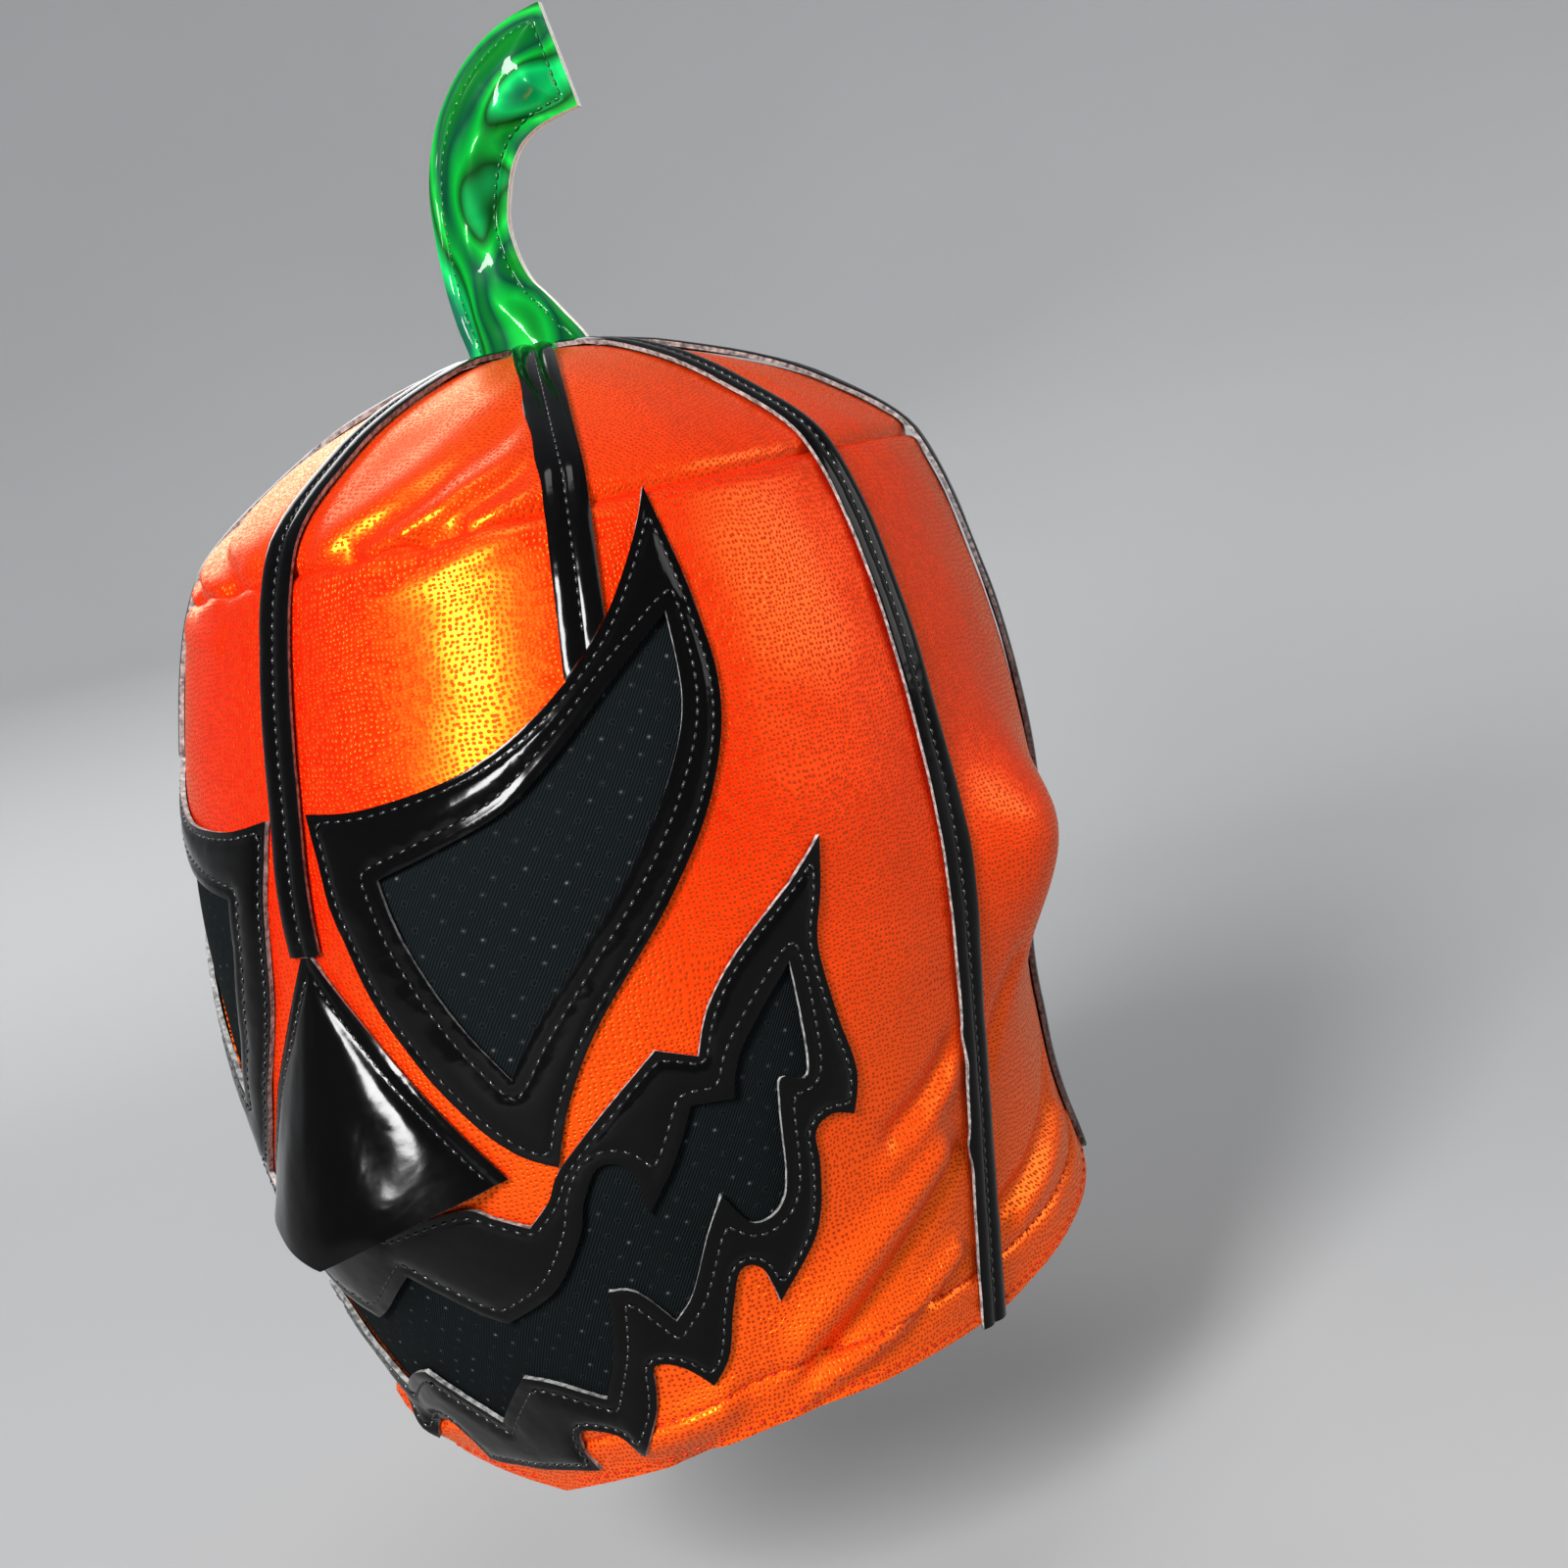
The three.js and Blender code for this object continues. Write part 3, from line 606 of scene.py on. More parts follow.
def declare_sheet(piece, flat, area):
    """Says that a piece is a sheet, with the size of the rectangle that it is cut from."""
    size = flat.max(0) - flat.min(0)
    area = float(min(max(area, LEAST_FILL * size[0] * size[1]), size[0] * size[1]))
    sheet_facts.append((piece.name, *np.round(size * 1000, 1), round(area * 1e6)))


def panel_sheet(name, flat, faces, around, drop, pattern):
    """A cloth panel, laid and thickened."""
    points = on_skin(around, drop, sewn_lift(around, drop))
    piece = new_piece(f"{name}_cloth", points, faces, pattern, [foil, cloth_back, foil])
    finish_sheet(piece, CLOTH_THICK)
    place_piece(piece, "foil_fabric", name)
    corner = flat[faces]
    sides = corner[:, 1:] - corner[:, :1]
    area = np.abs(np.cross(sides[:, 0], sides[:, 1])).sum() / 2
    return piece, area


def crown_wedge(name, start, end, ribs):
    """One wedge from the crown's middle to the seam."""
    sweep = np.linspace(start, end, max(4, round(abs(end - start) * DEGREE / EDGE_STEP)))
    down = np.linspace(0, 1, round(SEAM_DROP * 2 / EDGE_STEP))[1:]
    edge_in = [(start, share * seam_drop(start)) for share in down]
    along = [(turn, seam_drop(turn)) for turn in sweep[1:]]
    edge_out = [(end, share * seam_drop(end)) for share in down[::-1][1:]]
    places = np.array([(start, 0.0), *edge_in, *along, *edge_out], float)
    outline = crown_flat(places[:, 0], places[:, 1])
    flat, faces = cut_flat(outline, grid=CROWN_GRID, rows=CLOTH_ROWS)
    around, drop = crown_place(flat)
    middle = (start + end) / 2
    around = middle + wrapped(around - middle)
    piece, area = panel_sheet(name, flat, faces, around, drop, flat)
    turn = np.radians(middle)
    upright = flat @ np.array([[np.cos(turn), np.sin(turn)], [-np.sin(turn), np.cos(turn)]])
    declare_sheet(piece, upright, area)
    return piece


WEDGES = [
    ("front", 0, RIB_ANGLES["front"], "front_centre", "front"),
    ("temple", RIB_ANGLES["front"], RIB_ANGLES["side"], "front", "side"),
    ("side", RIB_ANGLES["side"], RIB_ANGLES["back"], "side", "back"),
    ("back", RIB_ANGLES["back"], RIB_ANGLES["centre"], "back", "back_centre"),
]
for part, start, end, first_rib, last_rib in WEDGES:
    for hand, ends in (("left", (start, end)), ("right", (-end, -start))):
        ribs = [rib if "centre" in rib else f"{rib}_{hand}" for rib in (first_rib, last_rib)]
        crown_wedge(f"crown_{part}_{hand}", *ends, ribs)
print("crown wedges laid:", 2 * len(WEDGES))

# %% Lower panels
HOLE_GROWTH = MESH_LAP + SEAM_GAP
eye_hole = offset_outline(eye_opening, HOLE_GROWTH)
mouth_hole = offset_outline(mouth_opening, HOLE_GROWTH)


def lower_panel(name, start, end, holes=()):
    """One tall panel from the crown seam to the hem, with its openings."""
    steps = max(4, round(abs(end - start) * DEGREE / EDGE_STEP))
    sweep = np.linspace(start, end, steps)
    rows = round((HOOD_DEPTH - SEAM_DROP) / (1.6 * EDGE_STEP))
    first, last = seam_drop(end), hem_drop(end)
    far_side = flat_place(end, np.linspace(first, last, rows)[1:-1])
    first, last = seam_drop(start), hem_drop(start)
    near_side = flat_place(start, np.linspace(last, first, rows)[1:-1])
    top = flat_place(sweep, seam_drop(sweep))
    bottom = flat_place(sweep[::-1], hem_drop(sweep[::-1]))
    outline = np.vstack([top, far_side, bottom, near_side])
    lines = [flat_place(sweep, hem_drop(sweep) - HEM_HEIGHT - row) for row in HEM_ROWS]
    flat, faces = cut_flat(outline, holes, rows=CLOTH_ROWS, lines=lines)
    around, drop = head_place(flat)
    piece, area = panel_sheet(name, flat, faces, around, drop, flat)
    declare_sheet(piece, flat, area)
    return piece


SIDE, BACK, CENTRE = (RIB_ANGLES[key] for key in ("side", "back", "centre"))
lower_panel("face_left", 0, SIDE, [eye_hole, mouth_hole])
lower_panel("face_right", -SIDE, 0, [mirrored(eye_hole), mouth_hole])
for part, start, end, above in (("cheek", SIDE, BACK, "side"), ("nape", BACK, CENTRE, "back")):
    lower_panel(f"{part}_left", start, end)
    lower_panel(f"{part}_right", -end, -start)

# %% [markdown]
# ## Vinyl borders and mesh windows
#
# The borders round the eyes and the mouth are cut from coated vinyl and sewn on along both
# edges. Between its two rows of stitches the vinyl stands up a little, and that soft pillow
# is what bends the reflections. The windows behind them are knit mesh, held under the edge.

# %% Borders and windows
OUTER_INSET = 1.4 * mm
INNER_INSET = 2.5 * mm
VINYL_ROWS = (0.45 * mm, 0.95 * mm, 1.5 * mm, 2.2 * mm, 2.9 * mm)
VINYL_GRID = 1.7 * mm
PILLOW_HEIGHT = 0.55 * mm
PILLOW_REACH = 4 * mm
STITCH_DENT = 0.42 * mm
VINYL_SWELL = 0.22 * mm
VINYL_QUIVER = 0.06 * mm


def vinyl_lift(flat, outline, opening, seed):
    """Height of a sewn vinyl border's top over the cloth."""
    outer = path_distance(flat, outline, closed=True)
    inner = path_distance(flat, opening, closed=True)
    edge = np.minimum(outer, inner)
    lift = SEAM_GAP + VINYL_THICK + PILLOW_HEIGHT * np.clip(edge / PILLOW_REACH, 0, 1) ** 0.7
    lift -= STITCH_DENT * ridge(outer - OUTER_INSET, 0.7 * mm)
    lift -= STITCH_DENT * ridge(inner - INNER_INSET, 0.8 * mm)
    lift += VINYL_SWELL * ripple(flat[:, 0], flat[:, 1], 14 * mm, seed)
    lift += VINYL_QUIVER * ripple(flat[:, 0], flat[:, 1], 3.4 * mm, seed + 1)
    return lift


def vinyl_border(name, outline, opening, seed):
    """A border sewn round an opening."""
    flat, faces = cut_flat(outline, [opening], grid=VINYL_GRID, rows=VINYL_ROWS)
    points = on_skin(*head_place(flat), vinyl_lift(flat, outline, opening, seed))
    piece = new_piece(f"{name}_vinyl", points, faces, flat, [vinyl, backing, backing])
    finish_sheet(piece, VINYL_THICK)
    place_piece(piece, "gloss_vinyl", name)
    declare_sheet(piece, flat, abs(flat_area(outline)) - abs(flat_area(opening)))
    return piece


WINDOW_SINK = 0.3 * mm


def mesh_window(name, opening, seed):
    """A knit mesh window, held under the border's edge."""
    outline = offset_outline(opening, MESH_LAP)
    flat, faces = cut_flat(outline, grid=1.9 * mm, rows=(1 * mm,))
    swell = WINDOW_SINK * ripple(flat[:, 0], flat[:, 1], 20 * mm, seed) - WINDOW_SINK
    points = on_skin(*head_place(flat), swell)
    piece = new_piece(f"{name}_knit", points, faces, flat, [knit, knit, knit])
    finish_sheet(piece, MESH_THICK)
    place_piece(piece, "knit_mesh", name)
    declare_sheet(piece, flat, abs(flat_area(outline)))
    return piece


eye_clear = offset_outline(eye_border, SEAM_GAP)
vinyl_border("eye_border_left", eye_border, eye_opening, 11)
vinyl_border("eye_border_right", mirrored(eye_border), mirrored(eye_opening), 12)
vinyl_border("mouth_border", mouth_border, mouth_opening, 13)
mesh_window("eye_mesh_left", eye_opening, 14)
mesh_window("eye_mesh_right", mirrored(eye_opening), 15)
mesh_window("mouth_mesh", mouth_opening, 16)
print("borders and windows laid: 6")

# %% [markdown]
# ## Ribs
#
# Eight narrow strips cover the seams and give the pumpkin its ribs. Each is a plane grid
# laid along its seam: narrow where the strips meet under the stem, with one stitch line
# down its middle that leaves a soft roll on each side.

# %% Rib strips
RIB_HALF = 4 * mm
RIB_SECTION = (-1, -0.96, -0.8, -0.55, -0.3, -0.1, 0, 0.1, 0.3, 0.55, 0.8, 0.96, 1)
RIB_STEP = 2 * mm
NOSE_TOP = 108.5 * mm
STAR_ANGLE = 19
FRONT_LEAN = 2.2
RIB_LIFT = 0.15 * mm
RIB_ROLL = 0.5 * mm
RIB_SWELL = 0.12 * mm


def rib_half(around, drop):
    """Half width of a rib, which narrows towards the crown's middle."""
    return np.minimum(RIB_HALF, head_reach(around, drop) * np.sin(np.radians(STAR_ANGLE)))


def rib_turn(around, drop):
    """Degrees round of a rib's middle. The front ribs lean in a little over the brow."""
    share = np.clip((drop / HOOD_DEPTH - 0.15) / 0.15, 0, 1)
    lean = FRONT_LEAN * share if abs(around) == RIB_ANGLES["front"] else 0 * share
    return around - np.sign(around) * lean


def grid_faces(rows, columns):
    """The four-sided faces of a grid of points."""
    first = np.arange(rows * columns).reshape(rows, columns)
    quads = [first[:-1, :-1], first[1:, :-1], first[1:, 1:], first[:-1, 1:]]
    return np.stack([quad.ravel() for quad in quads], 1)


def rib_strip(name, around, end, stop=None):
    """A strip along a seam, down to a drop or to an outline that it meets."""
    start = 1 * mm
    rows = round((end - start) / RIB_STEP) + 1
    share = np.linspace(0, 1, rows)
    points, pattern = [], []
    for side in RIB_SECTION:
        drop = start + (end - start) * share
        if stop is not None:
            fine = np.arange(SEAM_DROP, end, 0.25 * mm)
            turn = np.degrees(np.arcsin(side * RIB_HALF / head_reach(around, fine)))
            met = inside(flat_place(rib_turn(around, fine) + turn, fine), stop)
            last = fine[met.argmax()] if met.any() else end
            drop = start + (last - start) * share
        half = rib_half(around, drop)
        turn = np.degrees(np.arcsin(side * half / head_reach(around, drop)))
        roll = 1 - ((abs(side) - 0.5) / 0.5) ** 2
        lift = SEAM_GAP + VINYL_THICK + RIB_LIFT + RIB_ROLL * roll
        lift = lift + RIB_SWELL * ripple(drop, side * half, 12 * mm, round(abs(around)) + 20)
        points.append(on_skin(rib_turn(around, drop) + turn, drop, lift))
        pattern.append(np.stack([side * half, drop], 1))
    points = np.stack(points, 1).reshape(-1, 3)
    pattern = np.stack(pattern, 1).reshape(-1, 2)
    faces = grid_faces(rows, len(RIB_SECTION))
    piece = new_piece(f"{name}_vinyl", points, faces, pattern, [vinyl, backing, backing])
    finish_sheet(piece, VINYL_THICK)
    return place_piece(piece, "gloss_vinyl", name)


HEM_TUCK = 1 * mm
rib_ends = {}
for name, around, stop in [
    ("rib_front_centre", 0, None),
    ("rib_front_left", RIB_ANGLES["front"], eye_clear),
    ("rib_front_right", -RIB_ANGLES["front"], mirrored(eye_clear)),
    ("rib_side_left", SIDE, None),
    ("rib_side_right", -SIDE, None),
    ("rib_back_left", BACK, None),
    ("rib_back_right", -BACK, None),
    ("rib_back_centre", CENTRE, None),
]:
    end = float(hem_drop(around)) + HEM_TUCK
    if around == 0 or stop is not None:
        end = NOSE_TOP - SEAM_GAP
    rib_strip(name, around, end, stop)
    rib_ends[name] = (around, end, stop)
print("ribs laid:", len(rib_ends))

# %% [markdown]
# ## Nose
#
# The nose is one triangle of vinyl, sewn down along its two upper edges. It bulges and its
# lower lip stands open. A grid between the two edges gives it even faces for the highlight
# to run over, and a soft ridge down its middle leaves a nearly flat facet on each side.

# %% Nose
NOSE_LENGTH = 44 * mm
NOSE_HALF_WIDTH = 31 * mm
NOSE_REACH = 15.5 * mm
NOSE_LIP_DROP = 6.5 * mm
NOSE_TIP_SHARE = 0.04
NOSE_SOFTNESS = 0.3
NOSE_SWELL = 1.2
NOSE_INSET = 2.2 * mm
NOSE_WAVE = 0.5 * mm
NOSE_DENT = 0.5 * mm
NOSE_ROWS, NOSE_COLUMNS = 41, 61
NOSE_CUT_GROWTH = (1.3, 1.2)


def nose_place(across, down):
    """Degrees round and drop of a place on the nose."""
    lip = NOSE_LIP_DROP * down * (1 - np.abs(across))
    half = NOSE_HALF_WIDTH * (NOSE_TIP_SHARE + (1 - NOSE_TIP_SHARE) * down)
    around = np.degrees(np.arcsin(across * half / FACE_REACH))
    return around, NOSE_TOP + NOSE_LENGTH * down + lip


def nose_lift(across, down):
    """Height of the top of the nose over the cloth."""
    rounded = np.hypot(across, NOSE_SOFTNESS) - NOSE_SOFTNESS
    soft = rounded / (np.hypot(1, NOSE_SOFTNESS) - NOSE_SOFTNESS)
    rise = NOSE_REACH * down**NOSE_SWELL * (1 - soft)
    wave = NOSE_WAVE * ripple(across * NOSE_HALF_WIDTH, down * NOSE_LENGTH, 14 * mm, 31)
    dent = NOSE_DENT * ridge(nose_edge(across, down) - NOSE_INSET, 0.9 * mm)
    return SEAM_GAP + VINYL_THICK + rise + wave * np.clip(down, 0.1, 1) - dent


def nose_edge(across, down):
    """Distance in from the nearer sewn edge."""
    half = NOSE_HALF_WIDTH * (NOSE_TIP_SHARE + (1 - NOSE_TIP_SHARE) * down)
    slant = NOSE_LENGTH / np.hypot(NOSE_LENGTH, NOSE_HALF_WIDTH)
    return half * (1 - np.abs(across)) * slant


across, down = np.meshgrid(
    np.sin(np.linspace(-1, 1, NOSE_COLUMNS) * np.pi / 2), np.linspace(0, 1, NOSE_ROWS)
)
across, down = across.ravel(), down.ravel()
points = on_skin(*nose_place(across, down), nose_lift(across, down))
pattern = np.stack([across * NOSE_HALF_WIDTH * down, down * NOSE_LENGTH], 1)
faces = grid_faces(NOSE_ROWS, NOSE_COLUMNS)
nose = new_piece("nose_vinyl", points, faces, pattern, [vinyl, backing, backing])
finish_sheet(nose, VINYL_THICK)
place_piece(nose, "gloss_vinyl", "nose")
nose_area = NOSE_HALF_WIDTH * (NOSE_LENGTH + NOSE_LIP_DROP) * 1.35
declare_sheet(nose, pattern * NOSE_CUT_GROWTH, nose_area)

# %% [markdown]
# ## Stem
#
# The stem is two curved shapes of green vinyl, sewn together along a flat margin and
# lightly stuffed. The stuffing lifts the middle, and the curl gathers the vinyl into small
# folds across the inside of the bend. Each half is a grid from foot to cut end.

# %% Stem halves
STEM_HEIGHT = 67 * mm
STEM_PUFF = 4 * mm
STEM_TURN = 20
STEM_MARGIN = 2.6 * mm
STEM_GAP = 0.15 * mm
STEM_FOLD = 1.4 * mm
STEM_GROOVE = 0.35 * mm
STEM_QUIVER = 0.12 * mm
STEM_THREAD_INSET = 0.3 * mm
# Columns: sideways, up and half width at a point of the middle line, as shares of the height.
STEM_SECTIONS = [
    (-0.018, -0.1, 0.25), (-0.02, -0.04, 0.212), (-0.04, 0.04, 0.174),
    (-0.082, 0.15, 0.146), (-0.103, 0.26, 0.132),
    (-0.107, 0.385, 0.125), (-0.092, 0.49, 0.132), (-0.056, 0.6, 0.138),
    (0.004, 0.695, 0.144), (0.09, 0.77, 0.156), (0.19, 0.815, 0.165), (0.3, 0.836, 0.168),
]
stem_knots = np.array(STEM_SECTIONS) * STEM_HEIGHT
stem_line = np.vstack([smooth_run(stem_knots, 0.5 * mm), stem_knots[-1:]])
stem_arc = np.concatenate(
    [[0], np.cumsum(np.linalg.norm(np.diff(stem_line[:, :2], axis=0), axis=1))]
)
STEM_FOOT = 0.047


def stem_place(share, side, lift):
    """A point of the stem: share along it, side from -1 to 1, and height off its middle."""
    at = share * stem_arc[-1]
    x, z, half = (np.interp(at, stem_arc, stem_line[:, k]) for k in range(3))
    step = 1 * mm
    dx, dz = (
        np.interp(at + step, stem_arc, stem_line[:, k])
        - np.interp(at - step, stem_arc, stem_line[:, k])
        for k in range(2)
    )
    size = np.hypot(dx, dz)
    x, z = x + side * half * dz / size, z - side * half * dx / size
    turn = np.radians(STEM_TURN)
    return np.stack(
        [x * np.cos(turn) + lift * np.sin(turn), x * np.sin(turn) - lift * np.cos(turn), z], -1
    )


def stem_half_width(share):
    """Half width of the stem at a share of its length."""
    return np.interp(share * stem_arc[-1], stem_arc, stem_line[:, 2])


def stem_lift(share, side, front):
    """Height of a half's skin off the seam between the halves."""
    end = (1 - share) * stem_arc[-1] * 0.999
    edge = np.minimum(stem_half_width(share) * (1 - np.abs(side)), end)
    past = np.clip((edge - STEM_MARGIN) / (5.5 * mm), 0, 1)
    puff = STEM_PUFF * np.sin(past * np.pi / 2) * (0.75 + 0.25 * np.sin(share * 9 + 1))
    seed = 41 if front else 44
    along = share * stem_arc[-1]
    fold = ripple(along * 0.6, side * 7 * mm, 9 * mm, seed)
    fold += 0.5 * ripple(along, side * 9 * mm, 7 * mm, seed + 1)
    groove = STEM_GROOVE * ridge(edge - STEM_MARGIN, 0.7 * mm)
    wave = STEM_QUIVER * ripple(along, side * 8 * mm, 6 * mm, seed + 2)
    return VINYL_THICK + puff + STEM_FOLD * fold * past - groove + wave


stem_sides = np.sin(np.linspace(-1, 1, 49) * np.pi / 2 * 0.999)
stem_shares = np.linspace(STEM_FOOT, 1, 111)
side, share = np.meshgrid(stem_sides, stem_shares)
side, share = side.ravel(), share.ravel()
for name, sign in (("stem_front", 1), ("stem_back", -1)):
    skin_lift = STEM_GAP + stem_lift(share, side, sign > 0)
    outer = stem_place(share, side, sign * skin_lift)
    rim = np.vstack([outer, stem_place(share, side, np.full(len(side), sign * STEM_GAP))])
    quads = grid_faces(len(stem_shares), len(stem_sides))
    count = len(side)
    rows, columns = len(stem_shares), len(stem_sides)
    ring = np.concatenate([
        np.arange(columns), np.arange(1, rows) * columns + columns - 1,
        (rows - 1) * columns + np.arange(columns - 2, -1, -1), np.arange(rows - 2, 0, -1) * columns,
    ])
    next_ring = np.roll(ring, -1)
    wall = np.stack([ring, ring + count, next_ring + count, next_ring], 1)
    faces = np.vstack([quads, quads[:, ::-1] + count, wall])
    pattern = np.stack([side * stem_half_width(share), share * stem_arc[-1]], 1)
    piece = new_piece(f"{name}_vinyl", rim, faces, np.vstack([pattern, pattern]), [green, stem_edge])
    bpy.context.view_layer.objects.active = piece
    piece.select_set(True)
    bpy.ops.object.mode_set(mode="EDIT")
    bpy.ops.mesh.select_all(action="SELECT")
    bpy.ops.mesh.normals_make_consistent(inside=False)
    bpy.ops.object.mode_set(mode="OBJECT")
    in_wall = np.zeros(len(faces), np.int32)
    in_wall[len(quads) :] = 1
    piece.data.polygons.foreach_set("material_index", in_wall)
    bpy.ops.object.shade_smooth_by_angle(angle=SMOOTH_ANGLE)
    piece.select_set(False)
    place_piece(piece, "stem_vinyl", name)
print("stem length in mm:", round(stem_arc[-1] * 1000, 1))

# %% [markdown]
# ## Stitches
#
# A stitch is modelled once: a short thread that comes up out of the sheet and goes down
# again. It is copied along each row, turned to lie on the surface there. One object holds
# all the stitches of a piece. There are more than a thousand, so one has few faces.

# %% One stitch
STITCH_PITCH = 2.1 * mm
STITCH_LENGTH = 1.6 * mm
THREAD_RADIUS = 0.28 * mm

bpy.ops.mesh.primitive_cylinder_add(
    vertices=6, radius=THREAD_RADIUS, depth=STITCH_LENGTH, rotation=(0, np.pi / 2, 0)
)
stitch = bpy.context.active_object
bpy.ops.object.transform_apply(location=True, rotation=True, scale=True)
bpy.ops.object.mode_set(mode="EDIT")
for cut in (-0.3, 0, 0.3):
    bpy.ops.mesh.select_all(action="SELECT")
    bpy.ops.mesh.bisect(plane_co=(cut * STITCH_LENGTH, 0, 0), plane_no=(1, 0, 0))
bpy.ops.object.mode_set(mode="OBJECT")
stitch_points = np.array([vertex.co[:] for vertex in stitch.data.vertices])
stitch_faces = [list(face.vertices) for face in stitch.data.polygons]
end_share = np.abs(stitch_points[:, 0]) / (STITCH_LENGTH / 2)
stitch_points[:, 1:] *= (1 - 0.35 * end_share**3)[:, None]
stitch_points[:, 2] -= 0.38 * mm * end_share**2
bpy.data.objects.remove(stitch)
print("faces of a stitch:", len(stitch_faces))


def stitch_rows(name, rows, material, slot):
    """One object with all the stitches of some rows. A row is points and their normals."""
    points, faces, uv = [], [], []
    for middle, ahead, up in rows:
        ahead = ahead / np.linalg.norm(ahead, axis=1, keepdims=True)
        up = up - (up * ahead).sum(1, keepdims=True) * ahead
        up = up / np.linalg.norm(up, axis=1, keepdims=True)
        across = np.cross(up, ahead)
        for centre, x, y, z in zip(middle, ahead, across, up):
            first = len(points) * len(stitch_points)
            points.append(centre + stitch_points @ np.stack([x, y, z]))
            faces += [[first + corner for corner in face] for face in stitch_faces]
            uv.append(stitch_points[:, :2])
    mesh = bpy.data.meshes.new(name)
    mesh.from_pydata(np.vstack(points).tolist(), [], faces)
    mesh.materials.append(material)
    mesh.shade_smooth()
    piece = bpy.data.objects.new(name, mesh)
    bpy.context.collection.objects.link(piece)
    return place_piece(piece, slot)


def row_on_skin(flat, lift, closed, pitch=STITCH_PITCH):
    """A row of stitches along a flat path. Lift is a rule that gives their height."""
    path = resampled(flat, pitch, closed)
    ends = np.roll(path, -1, axis=0) if closed else path[1:]
    starts = path if closed else path[:-1]
    middle = (starts + ends) / 2
    up = outward(*head_place(middle))
    centre = on_skin(*head_place(middle), lift(middle))
    ahead = skin(*head_place(ends)) - skin(*head_place(starts))
    return centre, ahead, up


# %% Stitches of the borders
BORDER_THREAD_LIFT = 0.16 * mm
for name, outline, opening, seed in (
    ("eye_border_left", eye_border, eye_opening, 11),
    ("eye_border_right", mirrored(eye_border), mirrored(eye_opening), 12),
    ("mouth_border", mouth_border, mouth_opening, 13),
):

    def thread_lift(at):
        """Height of the thread on this border."""
        return vinyl_lift(at, outline, opening, seed) + BORDER_THREAD_LIFT

    inner = offset_outline(opening, INNER_INSET)
    outer = offset_outline(outline, -OUTER_INSET)
    rows = [row_on_skin(outer, thread_lift, True), row_on_skin(inner, thread_lift, True)]
    stitch_rows(f"{name}_stitches", rows, black_thread, "gloss_vinyl")

# %% Stitches of the ribs
RIB_THREAD_LIFT = 0.32 * mm
rows = []
for around, end, stop in rib_ends.values():
    drops = np.arange(6 * mm, end - 1.5 * mm, 0.5 * mm)
    line = flat_place(rib_turn(around, drops), drops)
    if stop is not None:
        line = line[~inside(line + [0, 2 * mm], stop)]
        line = line[: np.argmax(np.diff(line[:, 1]) > 1 * mm) or len(line)]
    lift = SEAM_GAP + VINYL_THICK + RIB_THREAD_LIFT
    drop = line[:, 1]
    gaps = np.linalg.norm(np.diff(skin(rib_turn(around, drop), drop), axis=0), axis=1)
    length = np.concatenate([[0], np.cumsum(gaps)])
    even = np.interp(np.arange(0, length[-1], STITCH_PITCH), length, drop)
    middle = (even[1:] + even[:-1]) / 2
    turn = rib_turn(around, middle)
    centre = on_skin(turn, middle, lift)
    places = skin(rib_turn(around, even), even)
    ahead = places[1:] - places[:-1]
    rows.append((centre, ahead, outward(turn, middle)))
stitch_rows("rib_stitches", rows, black_thread, "gloss_vinyl")

# %% Stitches of the nose and the stem
NOSE_THREAD_LIFT = 0.14 * mm
STEM_THREAD_LIFT = 0.1 * mm
rows = []
for sign in (-1, 1):
    down = np.linspace(0.08, 0.97, 200)
    half = NOSE_HALF_WIDTH * (NOSE_TIP_SHARE + (1 - NOSE_TIP_SHARE) * down)
    slant = NOSE_LENGTH / np.hypot(NOSE_LENGTH, NOSE_HALF_WIDTH)
    across = sign * np.clip(1 - NOSE_INSET / slant / half, 0, 1)
    line = on_skin(*nose_place(across, down), nose_lift(across, down) + NOSE_THREAD_LIFT)
    line = line[np.abs(across) > 0.12]
    even = resampled(line, STITCH_PITCH, closed=False)
    up = np.array([0, -1.0, 0.15]) + even[1:] * [8, 0, 0]
    rows.append(((even[1:] + even[:-1]) / 2, even[1:] - even[:-1], up))
stitch_rows("nose_stitches", rows, black_thread, "gloss_vinyl")

rows = []
for sign in (-1, 1):
    turn = np.radians(STEM_TURN)
    face = sign * np.array([np.sin(turn), -np.cos(turn), 0])
    share = np.linspace(STEM_FOOT + 0.03, 0.965, 400)
    inset = 1 - (STEM_MARGIN + STEM_THREAD_INSET) / stem_half_width(share)
    for edge in (-1, 1):
        lift = sign * (STEM_GAP + stem_lift(share, edge * inset, sign > 0) + STEM_THREAD_LIFT)
        line = resampled(stem_place(share, edge * inset, lift), STITCH_PITCH, closed=False)
        up = np.broadcast_to(face, line[1:].shape)
        rows.append(((line[1:] + line[:-1]) / 2, line[1:] - line[:-1], up))
    across = np.linspace(-0.72, 0.72, 60)
    end = np.full(len(across), 1 - (STEM_MARGIN + STEM_THREAD_INSET) / stem_arc[-1])
    lift = sign * (STEM_GAP + stem_lift(end, across, sign > 0) + STEM_THREAD_LIFT)
    line = resampled(stem_place(end, across, lift), STITCH_PITCH, closed=False)
    up = np.broadcast_to(face, line[1:].shape)
    rows.append(((line[1:] + line[:-1]) / 2, line[1:] - line[:-1], up))
stitch_rows("stem_stitches", rows, green_thread, "stem_vinyl")

# %% Stitches of the hem
HEM_THREAD_LIFT = 0.1 * mm
HEM_STITCH_PITCH = 3 * mm
EDGE_ROW_HEIGHT = 1.6 * mm
SEAM_ROOM = 4


def hem_thread_lift(at):
    """Height of the thread on the hem."""
    return sewn_lift(*head_place(at)) + HEM_THREAD_LIFT


